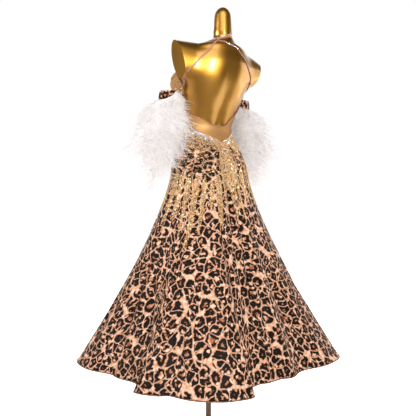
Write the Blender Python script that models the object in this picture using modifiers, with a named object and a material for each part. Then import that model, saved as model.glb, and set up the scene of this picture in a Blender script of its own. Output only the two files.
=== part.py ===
"""Ballroom dance dress worn by a limbless dress form on a pole and a round base.

Metres, +Z up. The origin is the underside of the base on the pole's axis. The
wearer faces -Y, so the back is +Y and the wearer's left is +X. A turn is the
angle round the body from the centre back, growing towards the wearer's left.
"""
import math

import bmesh
import bpy
import numpy as np
from mathutils import Vector
from mathutils.bvhtree import BVHTree

NAME = "ballroom_dress"

# stand
BASE_RADIUS = 0.180
BASE_THICKNESS = 0.010
POLE_RADIUS = 0.0115
POLE_FLANGE_RADIUS = 0.030
POLE_FLANGE_HEIGHT = 0.025

# dress form: heights of its cuts, its shoulder caps and its bust
FORM_BOTTOM = 0.940
FORM_TOP = 1.748
NECK_DOME = 0.034
CAP_REACH = 0.208
CAP_TOP = 1.590
CAP_HALF_HEIGHT = 0.066
CAP_HALF_DEPTH = 0.037
CAP_TALLER = 0.14
CAP_DEEPER = 0.24
CAP_LEAN = math.radians(15)
CAP_CENTRE = 0.070
RIGHT_CAP_FROM = 0.100
RIGHT_CAP_FALL = 0.035
RIGHT_CAP_TAPER = 0.36
RIGHT_CAP_POWER = 1.6
UNDER_CAPS = 1.42
BUST_APART = 0.076
BUST_HEIGHT = 1.462
BUST_CENTRE = -0.047
BUST_SIZE = (0.066, 0.066, 0.062)
BLEND = 0.026
SPINE_DEPTH = 0.009
SPINE_HALF_WIDTH = 0.017
FARTHEST = 0.26
CAST_FROM = 0.4
OFF_EDGE = 0.013

# cloth: wall, seam gap and the ease between the cloth and the form
CLOTH = 0.0014
SEAM = 0.0005
SIDE_SEAM = 0.0013
EASE = 0.0006
CLOSEST = 0.0007
NECK_EASE = 0.0005
EDGE_GAP = 0.0010
FIT_GAP = 0.0004

# skirt
SEAT_HEIGHT = 1.075
HEM_HEIGHT = 0.330
CONE_RADIUS = 0.495
FLARE_POWER = 1.22
FOLD_POWER = 1.6
HEM_COLUMNS = 72
FITTED_ROWS = 5
SKIRT_ROWS = 11

# neck, straps and bindings
NECKBAND_TALL = 0.0075
STRAND_RADIUS = 0.0021
BINDING_RADIUS = 0.0018
STRAP_WIDTH = 0.0062
STRAP_THICKNESS = 0.0015
ZIP_WIDTH = 0.0060

# arm bands and their feather trim
BAND_CENTRE = (0.166, -0.020)
BAND_HEIGHT = 1.388
BAND_RADIUS = 0.045
BAND_DEPTH = 0.036
BAND_SWELL = 0.0050
BAND_ROOM = 0.0034
BAND_GATHERS = 10
GATHER_DEPTH = 0.0022
PLUME_DRIFT = 0.042
PLUME_LIFT = 0.010
PLUME_LIFT_VARIES = 0.003
PLUME_HANG_VARIES = 0.06
PLUME_SWELL_VARIES = 0.05
STRIP_TALL = 0.0050
STRIP_THICK = 0.0022
STRIP_SWEEP = math.radians(216)
PLUMES_PER_STRIP = 25

# one row for each section of the form, from the bottom up
FORM_COLUMNS = ("height", "centre", "half_width", "back", "front")
FORM_SECTIONS = (
    (0.940, 0.006, 0.150, 0.112, 0.104),
    (1.005, 0.008, 0.166, 0.126, 0.112),
    (1.075, 0.008, 0.170, 0.132, 0.114),
    (1.125, 0.004, 0.163, 0.123, 0.112),
    (1.183, -0.005, 0.147, 0.106, 0.106),
    (1.226, -0.016, 0.130, 0.092, 0.100),
    (1.268, -0.022, 0.117, 0.083, 0.093),
    (1.330, -0.002, 0.120, 0.086, 0.104),
    (1.400, 0.030, 0.134, 0.098, 0.124),
    (1.466, 0.052, 0.142, 0.106, 0.132),
    (1.520, 0.066, 0.140, 0.104, 0.128),
    (1.560, 0.078, 0.120, 0.085, 0.105),
    (1.590, 0.087, 0.096, 0.068, 0.082),
    (1.604, 0.093, 0.062, 0.052, 0.058),
    (1.617, 0.097, 0.043, 0.043, 0.045),
    (1.645, 0.100, 0.038, 0.039, 0.039),
    (1.700, 0.101, 0.034, 0.035, 0.035),
    (1.748, 0.101, 0.028, 0.030, 0.030),
)

# plan of the hem: crests and valleys of its folds, and how far each rolls over
HEM_COLUMNS_NAMED = ("turn_deg", "radius", "roll_deg")
HEM_FOLDS = (
    (-176, 0.440, 0), (-160, 0.428, 0), (-144, 0.500, 0), (-128, 0.530, 0),
    (-108, 0.452, 0), (-92, 0.430, 0), (-74, 0.500, 0), (-55, 0.541, 0),
    (-42, 0.490, 0), (-23, 0.405, 0), (-15, 0.416, 2), (-7, 0.398, 0),
    (3, 0.402, 0), (9, 0.402, 0), (14.5, 0.448, 4), (19, 0.500, -2.5),
    (25, 0.526, 0), (33, 0.527, 0), (41, 0.515, 0), (47, 0.489, 2),
    (54, 0.503, 0), (61, 0.500, 3), (66, 0.455, -3), (71, 0.430, 0),
    (79, 0.436, 3), (90, 0.438, 0), (103, 0.500, 0), (119, 0.532, 0),
    (134, 0.480, 0), (148, 0.432, 0), (163, 0.510, 0),
)

# upper edge of the print, under the yoke at the back and the bust in front
PRINT_EDGE_COLUMNS = ("turn_deg", "height")
PRINT_EDGE = (
    (0, 1.2125), (20, 1.226), (50, 1.252), (82, 1.293), (110, 1.335), (140, 1.362), (180, 1.368),
)

# low back edge, and armhole edge of the halter, left and right
BACK_EDGE_COLUMNS = ("turn_deg", "left", "right")
BACK_EDGE = (
    (0, 1.279, 1.279), (20, 1.284, 1.279), (33, 1.292, 1.286), (42, 1.299, 1.306),
    (56, 1.309, 1.328), (68, 1.317, 1.350), (76, 1.323, 1.378), (80, 1.332, 1.400),
    (84, 1.352, 1.424), (90, 1.394, 1.432), (95, 1.434, 1.437), (104, 1.445, 1.445),
    (112, 1.460, 1.460), (120, 1.480, 1.480), (130, 1.506, 1.506), (140, 1.538, 1.538),
    (150, 1.572, 1.572),
    (160, 1.590, 1.590), (180, 1.594, 1.594),
)
YOKE_TURN = 84
BINDING_START_TURN = 2.6
STRAP_FOOT_TURNS = {"left": 91, "right": 82}

# routes of the two back straps, from the foot of each up to the nape
STRAP_COLUMNS = ("left_turn", "left_height", "right_turn", "right_height")
STRAP_ROUTES = (
    (95.3, 1.4310, -86, 1.4286), (87, 1.4380, -76, 1.4365), (79, 1.4490, -67, 1.4460),
    (74, 1.4650, -62, 1.4780), (65.5, 1.5060, -51, 1.5070), (57, 1.5510, -40, 1.5390),
    (45.6, 1.6056, -24.5, 1.5720),
)

# bar of stones across the nape, from one strap to the other
NAPE_COLUMNS = ("turn_deg", "height")
NAPE_BAR = ((43.0, 1.5953), (21.5, 1.5930), (10, 1.5860), (-9.5, 1.5810), (-24.2, 1.5741))

# upper edge of the neckband, higher at the back
NECKBAND_COLUMNS = ("turn_deg", "height")
NECKBAND_EDGE = (
    (-130, 1.605), (-90, 1.609), (-50, 1.622), (-15, 1.630), (35, 1.619), (75, 1.613),
    (120, 1.609), (180, 1.606),
)

# seams of the print's panels, in turns from the centre back
PANELS = (
    ("panel_back_left", 0, 60),
    ("panel_side_left", 60, 122),
    ("panel_front", 122, 238),
    ("panel_side_right", 238, 300),
    ("panel_back_right", 300, 360),
)

# feather strips on each arm band, from the top: name, height over the band's middle,
# radius the plumes swell to, radius at their tips, and how far they hang
TRIM = (
    ("upper", 0.0092, 0.110, 0.108, 0.225),
    ("middle", 0.0022, 0.094, 0.086, 0.310),
    ("lower", -0.0031, 0.072, 0.046, 0.378),
)

# stations of a plume: share of its fall, share of its spread, and its width there
PLUME_STATIONS = ((0.12, 0.42, 0.0050), (0.50, 0.97, 0.0056))

LACQUER = ((0.50, 0.25, 0.04, 1), 0.22, 1.0)
DARK_STEEL = ((0.03, 0.03, 0.03, 1), 0.35, 1.0)
PRINT = ((0.62, 0.36, 0.22, 1), 0.55, 0.0)
NUDE_MESH = ((0.60, 0.33, 0.20, 1), 0.60, 0.0)
SATIN = ((0.58, 0.28, 0.17, 1), 0.35, 0.0)
STONES = ((0.75, 0.72, 0.68, 1), 0.15, 0.8)
PLUME = ((0.88, 0.84, 0.82, 1), 0.85, 0.0)


def clear_scene():
    for thing in list(bpy.data.objects):
        bpy.data.objects.remove(thing, do_unlink=True)


def new_collection(name):
    collection = bpy.data.collections.new(name)
    bpy.context.scene.collection.children.link(collection)
    return collection


def material(name, finish):
    """Principled material; finish is (colour, roughness, metallic)."""
    colour, roughness, metallic = finish
    made = bpy.data.materials.new(name)
    made.use_nodes = True
    shader = made.node_tree.nodes["Principled BSDF"]
    shader.inputs["Base Color"].default_value = colour
    shader.inputs["Roughness"].default_value = roughness
    shader.inputs["Metallic"].default_value = metallic
    made.diffuse_color = colour
    return made


def smooth_curve(knots, values, at):
    """Cubic through the knots, with each knot's slope taken from its neighbours."""
    knots = np.asarray(knots, float)
    values = np.asarray(values, float)
    at = np.clip(np.asarray(at, float), knots[0], knots[-1])
    slopes = np.gradient(values, knots)
    low = np.clip(np.searchsorted(knots, at) - 1, 0, len(knots) - 2)
    gap = knots[low + 1] - knots[low]
    u = (at - knots[low]) / gap
    start = (2 * u**3 - 3 * u**2 + 1) * values[low] + (u**3 - 2 * u**2 + u) * gap * slopes[low]
    end = (3 * u**2 - 2 * u**3) * values[low + 1] + (u**3 - u**2) * gap * slopes[low + 1]
    return start + end


def table_column(columns, rows, wanted):
    return np.array([row[columns.index(wanted)] for row in rows], float)


def form_value(wanted, height):
    heights = table_column(FORM_COLUMNS, FORM_SECTIONS, "height")
    return smooth_curve(heights, table_column(FORM_COLUMNS, FORM_SECTIONS, wanted), height)


def signed_turn(turn):
    """The same turn between -180 and 180 degrees."""
    return (np.asarray(turn, float) + 180) % 360 - 180


def softer_min(first, second, reach):
    """The lesser of two fields, rounded where they are within reach of each other."""
    closeness = np.maximum(reach - np.abs(first - second), 0) / reach
    return np.minimum(first, second) - closeness**2 * reach / 4


def form_field(x, y, z):
    """Below zero inside the form: its torso, two shoulder caps and a bust, blended."""
    centre = form_value("centre", z)
    across = form_value("half_width", z)
    depth = np.where(y > centre, form_value("back", z), form_value("front", z))
    dome = np.clip((z - (FORM_TOP - NECK_DOME)) / NECK_DOME, 0, 1)
    shrink = np.sqrt(np.maximum(1 - dome**2, 1e-6))
    torso = (np.hypot(x / (across * shrink), (y - centre) / (depth * shrink)) - 1) * across
    beyond = np.abs(x) - BUST_APART
    bust = np.sqrt((beyond / BUST_SIZE[0])**2 + ((y - BUST_CENTRE) / BUST_SIZE[1])**2
                   + ((z - BUST_HEIGHT) / BUST_SIZE[2])**2)
    field = softer_min(torso, (bust - 1) * BUST_SIZE[0], BLEND)
    inward = CAP_REACH - np.abs(x)
    # the right cap falls away and narrows towards its end
    drawn = np.clip((-x - RIGHT_CAP_FROM) / (CAP_REACH - RIGHT_CAP_FROM), 0, 1)**RIGHT_CAP_POWER
    tall = (CAP_HALF_HEIGHT + inward * CAP_TALLER) * (1 - RIGHT_CAP_TAPER * drawn)
    deep = CAP_HALF_DEPTH + inward * CAP_DEEPER
    middle = CAP_TOP - RIGHT_CAP_FALL * drawn - tall
    cap = np.hypot((y - CAP_CENTRE) / deep, (z - middle) / tall)
    return softer_min(field, (cap - 1) * deep, BLEND)


def form_radius(turn, height, spine=False):
    """Distance from the section's centre to the form's surface, by bisection on its field."""
    turn, height = np.broadcast_arrays(np.radians(turn), np.asarray(height, float))
    centre = form_value("centre", height)
    steps = np.linspace(0.002, FARTHEST, 44)
    low = np.full(turn.shape, steps[0])
    high = np.full(turn.shape, steps[-1])
    for first, second in zip(steps[:-1], steps[1:]):
        inside = form_field(first * np.sin(turn), centre + first * np.cos(turn), height) < 0
        low = np.where(inside, first, low)
        high = np.where(inside, second, high)
    for _ in range(14):
        middle = (low + high) / 2
        inside = form_field(middle * np.sin(turn), centre + middle * np.cos(turn), height) < 0
        low = np.where(inside, middle, low)
        high = np.where(inside, high, middle)
    if not spine:
        return low
    lengthwise = smooth_curve((0.9, 1.14, 1.24, 1.36, 1.50, 1.60), (0, 0, 0.6, 1, 0.35, 0), height)
    aside = low * np.sin(turn)
    behind = np.cos(turn) > 0
    groove = SPINE_DEPTH * lengthwise * np.exp(-(aside / SPINE_HALF_WIDTH)**2) * behind
    return low - groove


def on_section(turn, height, radius):
    turn, height = np.broadcast_arrays(np.asarray(turn, float), np.asarray(height, float))
    around = np.radians(turn)
    centre = form_value("centre", height)
    return np.stack([radius * np.sin(around), centre + radius * np.cos(around), height], -1)


def face_shares(steps=6):
    """Shares of a quad's corners at points spread over both ways to halve it."""
    shares = set()
    for apart in range(4):
        for first in range(steps + 1):
            for second in range(steps + 1 - first):
                point = [first, second, steps - first - second]
                point.insert(apart, 0)
                shares.add(tuple(point))
    return np.array(sorted(shares)) / steps


FACE_SHARES = face_shares()


class Body:
    """The finished form as the cloth meets it: every point is cast on its own faces."""

    def __init__(self, form):
        form.data.calc_loop_triangles()
        corners = [vertex.co for vertex in form.data.vertices]
        faces = [tuple(face.vertices) for face in form.data.loop_triangles]
        self.tree = BVHTree.FromPolygons(corners, faces)

    def clearance(self, points):
        """How far each point is outside the form, less than zero inside it."""
        gaps = []
        for point in points.reshape(-1, 3):
            place, normal, _, distance = self.tree.find_nearest(point)
            gaps.append(math.copysign(distance, (Vector(point) - place).dot(normal)))
        return np.reshape(gaps, points.shape[:-1])

    def settled(self, grid, closed_round=False):
        """Raises a grid's corners until none of its faces is nearer the form than CLOSEST."""
        turns, heights = turns_of(grid)
        outward = self.outward(turns, heights)
        for _ in range(8):
            corners = np.concatenate([grid, grid[:, :1]], 1) if closed_round else grid
            lack = np.zeros((corners.shape[0] - 1, corners.shape[1] - 1))
            for shares in FACE_SHARES:
                point = (corners[:-1, :-1] * shares[0] + corners[:-1, 1:] * shares[1]
                         + corners[1:, 1:] * shares[2] + corners[1:, :-1] * shares[3])
                lack = np.maximum(lack, CLOSEST - self.clearance(point))
            raised = np.zeros(corners.shape[:2])
            for row, column in ((0, 0), (0, 1), (1, 0), (1, 1)):
                here = raised[row:raised.shape[0] - 1 + row, column:raised.shape[1] - 1 + column]
                np.maximum(here, lack, out=here)
            if closed_round:
                raised[:, 0] = np.maximum(raised[:, 0], raised[:, -1])
                raised = raised[:, :-1]
            grid = grid + outward * raised[..., None]
        return grid

    def radius(self, turn, height):
        turn, height = np.broadcast_arrays(np.asarray(turn, float), np.asarray(height, float))
        centre = form_value("centre", height)
        reach = np.empty(turn.shape)
        for place in np.ndindex(turn.shape):
            around = math.radians(turn[place] + OFF_EDGE)
            outward = Vector((math.sin(around), math.cos(around), 0))
            start = Vector((0, centre[place], height[place] + OFF_EDGE / 1000))
            hit = self.tree.ray_cast(start + outward * CAST_FROM, -outward)
            reach[place] = CAST_FROM - hit[3]
        return reach

    def point(self, turn, height, lift=0.0):
        """Points on the form, moved out by lift along the smooth surface's normal."""
        turn, height = np.broadcast_arrays(np.asarray(turn, float), np.asarray(height, float))
        here = on_section(turn, height, self.radius(turn, height))
        return here + self.outward(turn, height) * lift

    def outward(self, turn, height):
        aside = on_section(turn + 1.0, height, form_radius(turn + 1.0, height))
        aside -= on_section(turn - 1.0, height, form_radius(turn - 1.0, height))
        above = on_section(turn, height + 0.002, form_radius(turn, height + 0.002))
        above -= on_section(turn, height - 0.002, form_radius(turn, height - 0.002))
        normal = np.cross(above, aside)
        return normal / np.linalg.norm(normal, axis=-1, keepdims=True)


def add_object(name, mesh, finish, collection):
    made = bpy.data.objects.new(name, mesh)
    made.data.materials.append(material(name + "_finish", finish))
    collection.objects.link(made)
    return made


def grid_mesh(name, points, closed_round=False):
    """Open surface through a grid of points, rows from the top, turns growing along a row."""
    rows, columns = points.shape[:2]
    spans = columns if closed_round else columns - 1
    row, column = np.meshgrid(np.arange(rows - 1), np.arange(spans), indexing="ij")
    after = (column + 1) % columns
    corners = np.stack([row * columns + column, row * columns + after,
                        (row + 1) * columns + after, (row + 1) * columns + column], -1)
    mesh = bpy.data.meshes.new(name)
    mesh.from_pydata(points.reshape(-1, 3).tolist(), [], corners.reshape(-1, 4).tolist())
    mesh.update()
    return mesh


def cloth_wall(name, points, finish, collection, thickness=CLOTH, closed_round=False):
    """A wall of cloth: the grid is its inner face, and Solidify gives it its thickness."""
    wall = add_object(name, grid_mesh(name, points, closed_round), finish, collection)
    wall.data.shade_smooth()
    solid = wall.modifiers.new("thickness", "SOLIDIFY")
    solid.thickness = thickness
    solid.offset = 1.0
    solid.use_rim = True
    return wall


def inset_seams(points, seam=SEAM):
    """Pulls a grid's first and last columns in by half a seam."""
    inset = points.copy()
    for edge, beside in ((0, 1), (-1, -2)):
        inward = points[:, beside] - points[:, edge]
        inward /= np.linalg.norm(inward, axis=-1, keepdims=True)
        inset[:, edge] += inward * seam / 2
    return inset


def build_form(collection):
    """Torso, caps and neck: rings from the bottom up, closed by a disc and a dome."""
    columns = 44
    steps = np.arange(columns) * 2 * math.pi / columns
    turns = np.degrees(steps + 0.20 * np.sin(2 * steps))
    heights = np.concatenate([
        np.linspace(FORM_BOTTOM, 1.12, 4)[:-1],
        np.linspace(1.12, 1.38, 12)[:-1],
        np.linspace(1.38, 1.58, 12)[:-1],
        np.linspace(1.58, 1.64, 7)[:-1],
        np.linspace(1.64, FORM_TOP - NECK_DOME, 3)[:-1],
        FORM_TOP - NECK_DOME + NECK_DOME * np.sin(np.linspace(0, 0.94, 4) * math.pi / 2),
    ])
    heights = heights[::-1, None]
    radius = form_radius(turns[None, :], heights, spine=True)
    rings = on_section(turns[None, :], heights, radius)
    mesh = grid_mesh("form_torso", rings, closed_round=True)
    form = add_object("form_torso", mesh, LACQUER, collection)
    cut_caps(form.data)
    form.data.shade_smooth()
    form.data.set_sharp_from_angle(angle=math.radians(50))
    return form


def cut_caps(mesh):
    """Cuts the shoulder caps flat and closes every open ring with one face."""
    shell = bmesh.new()
    shell.from_mesh(mesh)
    for side in (-1, 1):
        faces = [face for face in shell.faces if face.calc_center_median().z > UNDER_CAPS]
        edges = {edge for face in faces for edge in face.edges}
        corners = {corner for face in faces for corner in face.verts}
        bmesh.ops.bisect_plane(shell, geom=[*corners, *edges, *faces], dist=1e-6, clear_outer=True,
                               plane_co=(side * CAP_REACH, 0, CAP_TOP),
                               plane_no=(side * math.cos(CAP_LEAN), 0, -math.sin(CAP_LEAN)))
    bmesh.ops.remove_doubles(shell, verts=shell.verts[:], dist=2e-4)
    bmesh.ops.holes_fill(shell, edges=[edge for edge in shell.edges if edge.is_boundary], sides=0)
    bmesh.ops.recalc_face_normals(shell, faces=shell.faces[:])
    shell.to_mesh(mesh)
    shell.free()


def turned(name, outline, finish, collection, sides=32):
    """A solid turned round the Z axis from an outline of (radius, height), top to bottom."""
    mesh = bpy.data.meshes.new(name)
    mesh.from_pydata([(radius, 0, height) for radius, height in outline],
                     [(i, i + 1) for i in range(len(outline) - 1)], [])
    made = add_object(name, mesh, finish, collection)
    screw = made.modifiers.new("turn", "SCREW")
    screw.angle = 2 * math.pi
    screw.steps = sides
    screw.render_steps = sides
    screw.use_merge_vertices = True
    screw.merge_threshold = 0.0001
    screw.use_smooth_shade = True
    return made


def build_stand(collection):
    edge = 0.004
    turned("stand_base", ((0, BASE_THICKNESS), (BASE_RADIUS - edge, BASE_THICKNESS),
                          (BASE_RADIUS, BASE_THICKNESS - edge), (BASE_RADIUS, 0), (0, 0)),
           DARK_STEEL, collection, sides=48)
    foot = BASE_THICKNESS + 0.0003
    top = FORM_BOTTOM - 0.0003
    turned("stand_pole", ((0, top), (POLE_FLANGE_RADIUS, top), (POLE_FLANGE_RADIUS, top - 0.006),
                          (POLE_RADIUS, top - 0.006), (POLE_RADIUS, foot + POLE_FLANGE_HEIGHT),
                          (POLE_RADIUS + 0.006, foot + POLE_FLANGE_HEIGHT),
                          (POLE_FLANGE_RADIUS, foot + 0.006), (POLE_FLANGE_RADIUS, foot), (0, foot)),
           DARK_STEEL, collection, sides=20)


def hem_plan():
    """Turn at the seat, turn at the hem and hem radius of each column, even along the hem."""
    turn = table_column(HEM_COLUMNS_NAMED, HEM_FOLDS, "turn_deg")
    radius = table_column(HEM_COLUMNS_NAMED, HEM_FOLDS, "radius")
    roll = table_column(HEM_COLUMNS_NAMED, HEM_FOLDS, "roll_deg")
    turn = np.concatenate([turn - 360, turn, turn + 360])
    fine = np.linspace(0, 360, 1441)
    fine_radius = smooth_curve(turn, np.tile(radius, 3), fine)
    fine_roll = smooth_curve(turn, np.tile(roll, 3), fine)
    around = np.radians(fine + fine_roll)
    plan = np.stack([fine_radius * np.sin(around), fine_radius * np.cos(around)], -1)
    along = np.concatenate([[0], np.cumsum(np.linalg.norm(np.diff(plan, axis=0), axis=1))])
    return fine, fine_roll, fine_radius, along


def panel_turns(start, stop):
    """Turns of a panel's columns, spaced evenly along the hem between its two seams."""
    fine, _, _, along = hem_plan()
    first, last = np.interp((start, stop), fine, along)
    count = max(4, round(HEM_COLUMNS * (last - first) / along[-1]))
    return np.interp(np.linspace(first, last, count + 1), along, fine)


def print_edge(turn):
    return smooth_curve(table_column(PRINT_EDGE_COLUMNS, PRINT_EDGE, "turn_deg"),
                        table_column(PRINT_EDGE_COLUMNS, PRINT_EDGE, "height"),
                        np.abs(signed_turn(turn)))


def back_edge(turn):
    """Height of the low back and armhole edge: its left rows for turns to the left."""
    turn = signed_turn(turn)
    knots = table_column(BACK_EDGE_COLUMNS, BACK_EDGE, "turn_deg")
    left = np.interp(np.abs(turn), knots, table_column(BACK_EDGE_COLUMNS, BACK_EDGE, "left"))
    right = np.interp(np.abs(turn), knots, table_column(BACK_EDGE_COLUMNS, BACK_EDGE, "right"))
    return np.where(turn >= 0, left, right)


def fitted_rows(body, turns, top, bottom, rows, lift=EASE):
    """Grid on the body from an upper edge to a lower edge, both heights for each turn."""
    share = np.linspace(0, 1, rows)[:, None]
    heights = top[None, :] + (bottom - top)[None, :] * share
    return body.point(np.broadcast_to(turns[None, :], heights.shape), heights, lift)


def skirt_rows(seat, turns):
    """Grid from the seat to the hem: straight falls, drawn into the hem's folds as they go down."""
    fine, roll, radius, _ = hem_plan()
    hem_radius = np.interp(turns % 360, fine, radius)
    hem_roll = np.interp(turns % 360, fine, roll)
    share = np.linspace(0, 1, SKIRT_ROWS + 1)[1:, None]
    flare = share**FLARE_POWER
    seat_radius = np.hypot(seat[:, 0], seat[:, 1])[None, :]
    seat_turn = np.degrees(np.arctan2(seat[:, 0], seat[:, 1]))
    seat_turn = turns + signed_turn(seat_turn - turns)
    fall = seat_radius + (CONE_RADIUS - seat_radius) * flare
    fall = fall + (hem_radius - CONE_RADIUS)[None, :] * share**FOLD_POWER
    around = seat_turn[None, :] + (turns - seat_turn)[None, :] * flare
    around = np.radians(around + hem_roll[None, :] * share**3)
    height = SEAT_HEIGHT + (HEM_HEIGHT - SEAT_HEIGHT) * share
    height = np.broadcast_to(height, fall.shape)
    return np.stack([fall * np.sin(around), fall * np.cos(around), height], -1)


def build_print_panels(body, collection):
    for name, start, stop in PANELS:
        turns = panel_turns(start, stop)
        seat = np.full(turns.shape, SEAT_HEIGHT)
        upper = fitted_rows(body, turns, print_edge(turns), seat, FITTED_ROWS + 1)
        upper = body.settled(upper)
        grid = np.concatenate([upper, skirt_rows(upper[-1], turns)], 0)
        cloth_wall(name, inset_seams(grid), PRINT, collection)


def build_yokes(body, collection):
    """Mesh yokes between the print and the low back edge, one each side of the zip."""
    zip_turn = math.degrees((ZIP_WIDTH / 2 + SEAM) / form_radius(0, print_edge(0)))
    for side, name in ((1, "yoke_back_left"), (-1, "yoke_back_right")):
        turns = side * np.linspace(zip_turn, YOKE_TURN, 15)
        if side < 0:
            turns = turns[::-1]
        grid = fitted_rows(body, turns, back_edge(turns), print_edge(turns) + EDGE_GAP, 4)
        cloth_wall(name, inset_seams(body.settled(grid), SIDE_SEAM), NUDE_MESH, collection)


def build_halter(body, collection):
    """Mesh front with its two cups, from the print's edge up to the collar."""
    spread = np.concatenate([np.linspace(YOKE_TURN, 104, 5)[:-1], np.linspace(104, 180, 12)])
    turns = np.concatenate([spread, (360 - spread)[::-1][1:]])
    bottom = print_edge(turns) + EDGE_GAP
    grid = body.settled(fitted_rows(body, turns, back_edge(turns), bottom, 12))
    cloth_wall("halter_front", inset_seams(grid, SIDE_SEAM), NUDE_MESH, collection)


def ribbon(body, name, turns, heights, finish, collection,
           width=STRAP_WIDTH, thickness=STRAP_THICKNESS):
    """A flat band on the form along a line of turns and heights."""
    path = body.point(turns, heights)
    along = np.gradient(path, axis=0)
    across = np.cross(along, body.outward(turns, heights))
    across *= width / 2 / np.linalg.norm(across, axis=1, keepdims=True)
    edges = np.stack([path - across, path, path + across], 1)
    edge_turns, edge_heights = turns_of(edges)
    grid = body.settled(body.point(edge_turns, edge_heights, EASE))
    return cloth_wall(name, grid, finish, collection, thickness)


def turns_of(points):
    """Turn and height of points, as seen from their section's centre."""
    centre = form_value("centre", points[..., 2])
    return np.degrees(np.arctan2(points[..., 0], points[..., 1] - centre)), points[..., 2]


def piping(name, path, radius, finish, collection, closed=False):
    """A round cord along a path, as a curve with a bevel."""
    curve = bpy.data.curves.new(name, "CURVE")
    curve.dimensions = "3D"
    curve.bevel_depth = radius
    curve.bevel_resolution = 1
    curve.use_fill_caps = True
    spline = curve.splines.new("POLY")
    spline.points.add(len(path) - 1)
    for point, place in zip(spline.points, path):
        point.co = (*place, 1)
    spline.use_cyclic_u = closed
    made = bpy.data.objects.new(name, curve)
    made.data.materials.append(material(name + "_finish", finish))
    collection.objects.link(made)
    return made


def evenly(path, count):
    """The same line with its points spread evenly along it."""
    along = np.concatenate([[0], np.cumsum(np.linalg.norm(np.diff(path, axis=0), axis=1))])
    wanted = np.linspace(0, along[-1], count)
    return np.stack([np.interp(wanted, along, path[:, axis]) for axis in range(3)], 1)


def build_bindings(body, collection):
    """Satin piping along the low back edge, from the zip to the foot of each strap."""
    for side, word in ((1, "left"), (-1, "right")):
        turns = side * np.linspace(BINDING_START_TURN, STRAP_FOOT_TURNS[word], 70)
        edge = body.point(turns, back_edge(turns))
        off_cloth = np.cross(np.gradient(edge, axis=0), body.outward(turns, back_edge(turns)))
        off_cloth *= side / np.linalg.norm(off_cloth, axis=1, keepdims=True)
        moved, heights = turns_of(edge + off_cloth * (BINDING_RADIUS + EDGE_GAP))
        path = body.point(moved, heights, EASE + BINDING_RADIUS + FIT_GAP)
        piping("binding_" + word, evenly(path, 18), BINDING_RADIUS, SATIN, collection)


def build_straps(body, collection):
    for word in ("left", "right"):
        turns, heights = route(STRAP_COLUMNS, STRAP_ROUTES, word + "_turn", word + "_height", 15)
        ribbon(body, "strap_" + word, turns, heights, SATIN, collection)


def build_zip(body, collection):
    """Closed zip down the centre back, between the two yokes."""
    heights = np.linspace(back_edge(0) - SEAM, print_edge(0) + 2 * EDGE_GAP, 5)
    ribbon(body, "zip_centre_back", np.zeros(5), heights, SATIN, collection, ZIP_WIDTH, CLOTH)


def route(columns, rows, turn_name, height_name, count):
    """Turns and heights of evenly spread points on a smooth line through a table's rows."""
    order = np.linspace(0, len(rows) - 1, count)
    knots = np.arange(len(rows))
    return (smooth_curve(knots, table_column(columns, rows, turn_name), order),
            smooth_curve(knots, table_column(columns, rows, height_name), order))


def build_neck(body, collection):
    """Neckband with a strand of stones on its upper edge, and the bar across the nape."""
    turns = np.arange(26) * 360 / 26
    knots = table_column(NECKBAND_COLUMNS, NECKBAND_EDGE, "turn_deg")
    knots = np.concatenate([knots - 360, knots, knots + 360])
    edge = np.tile(table_column(NECKBAND_COLUMNS, NECKBAND_EDGE, "height"), 3)
    edge = smooth_curve(knots, edge, signed_turn(turns))
    top = edge - STRAND_RADIUS - SEAM
    band = fitted_rows(body, turns, top, top - NECKBAND_TALL, 2, NECK_EASE)
    band = body.settled(band, closed_round=True)
    cloth_wall("neckband", band, SATIN, collection, closed_round=True)
    strand = body.point(turns, edge, NECK_EASE + STRAND_RADIUS)
    piping("neckband_strand", strand, STRAND_RADIUS, STONES, collection, closed=True)
    turns, heights = route(NAPE_COLUMNS, NAPE_BAR, "turn_deg", "height", 10)
    ribbon(body, "nape_bar", turns, heights, STONES, collection)


def clear_of_dress(body, points, gap):
    """Moves points that lie inside the dress out to its outer face and a gap beyond it."""
    high = np.maximum(points[..., 2], SEAT_HEIGHT)
    centre = form_value("centre", high)
    turn = np.degrees(np.arctan2(points[..., 0], points[..., 1] - centre))
    worn = body.radius(turn, high)
    share = np.clip((SEAT_HEIGHT - points[..., 2]) / (SEAT_HEIGHT - HEM_HEIGHT), 0, 1)
    worn = worn + (CONE_RADIUS - worn) * share**FLARE_POWER
    outside = worn + EASE + CLOTH + gap
    reach = np.hypot(points[..., 0], points[..., 1] - centre)
    grow = np.maximum(outside / reach, 1)
    moved = points.copy()
    moved[..., 0] = points[..., 0] * grow
    moved[..., 1] = centre + (points[..., 1] - centre) * grow
    return moved


def arm_ring(side, around, radius, height, drift=0.0):
    """Points of a ring round an arm band's middle; around is 0 on its outer side."""
    x = side * (BAND_CENTRE[0] + drift + radius * np.cos(around))
    y = BAND_CENTRE[1] + radius * np.sin(around)
    return np.stack(np.broadcast_arrays(x, y, height), -1)


def build_arm_band(body, side, word, collection):
    """Gathered band, an open ring that lies against the bodice on its inner side."""
    columns = 4 * BAND_GATHERS
    around = -side * np.arange(columns) * 2 * math.pi / columns
    rows = np.linspace(0.5, -0.5, 3)[:, None]
    swell = BAND_SWELL * (1 - (2 * rows)**2)
    radius = BAND_RADIUS + swell + GATHER_DEPTH * np.cos(BAND_GATHERS * around)[None, :]
    grid = arm_ring(side, around[None, :], radius, BAND_HEIGHT + rows * BAND_DEPTH)
    grid = clear_of_dress(body, grid, CLOTH + BAND_ROOM)
    cloth_wall("arm_band_" + word, grid, PRINT, collection, closed_round=True)


def plume_wave(index, seed):
    """Variation between -1 and 1 for the plumes of these indices."""
    return np.sin(index * 2.399 + seed * 1.7)


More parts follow.
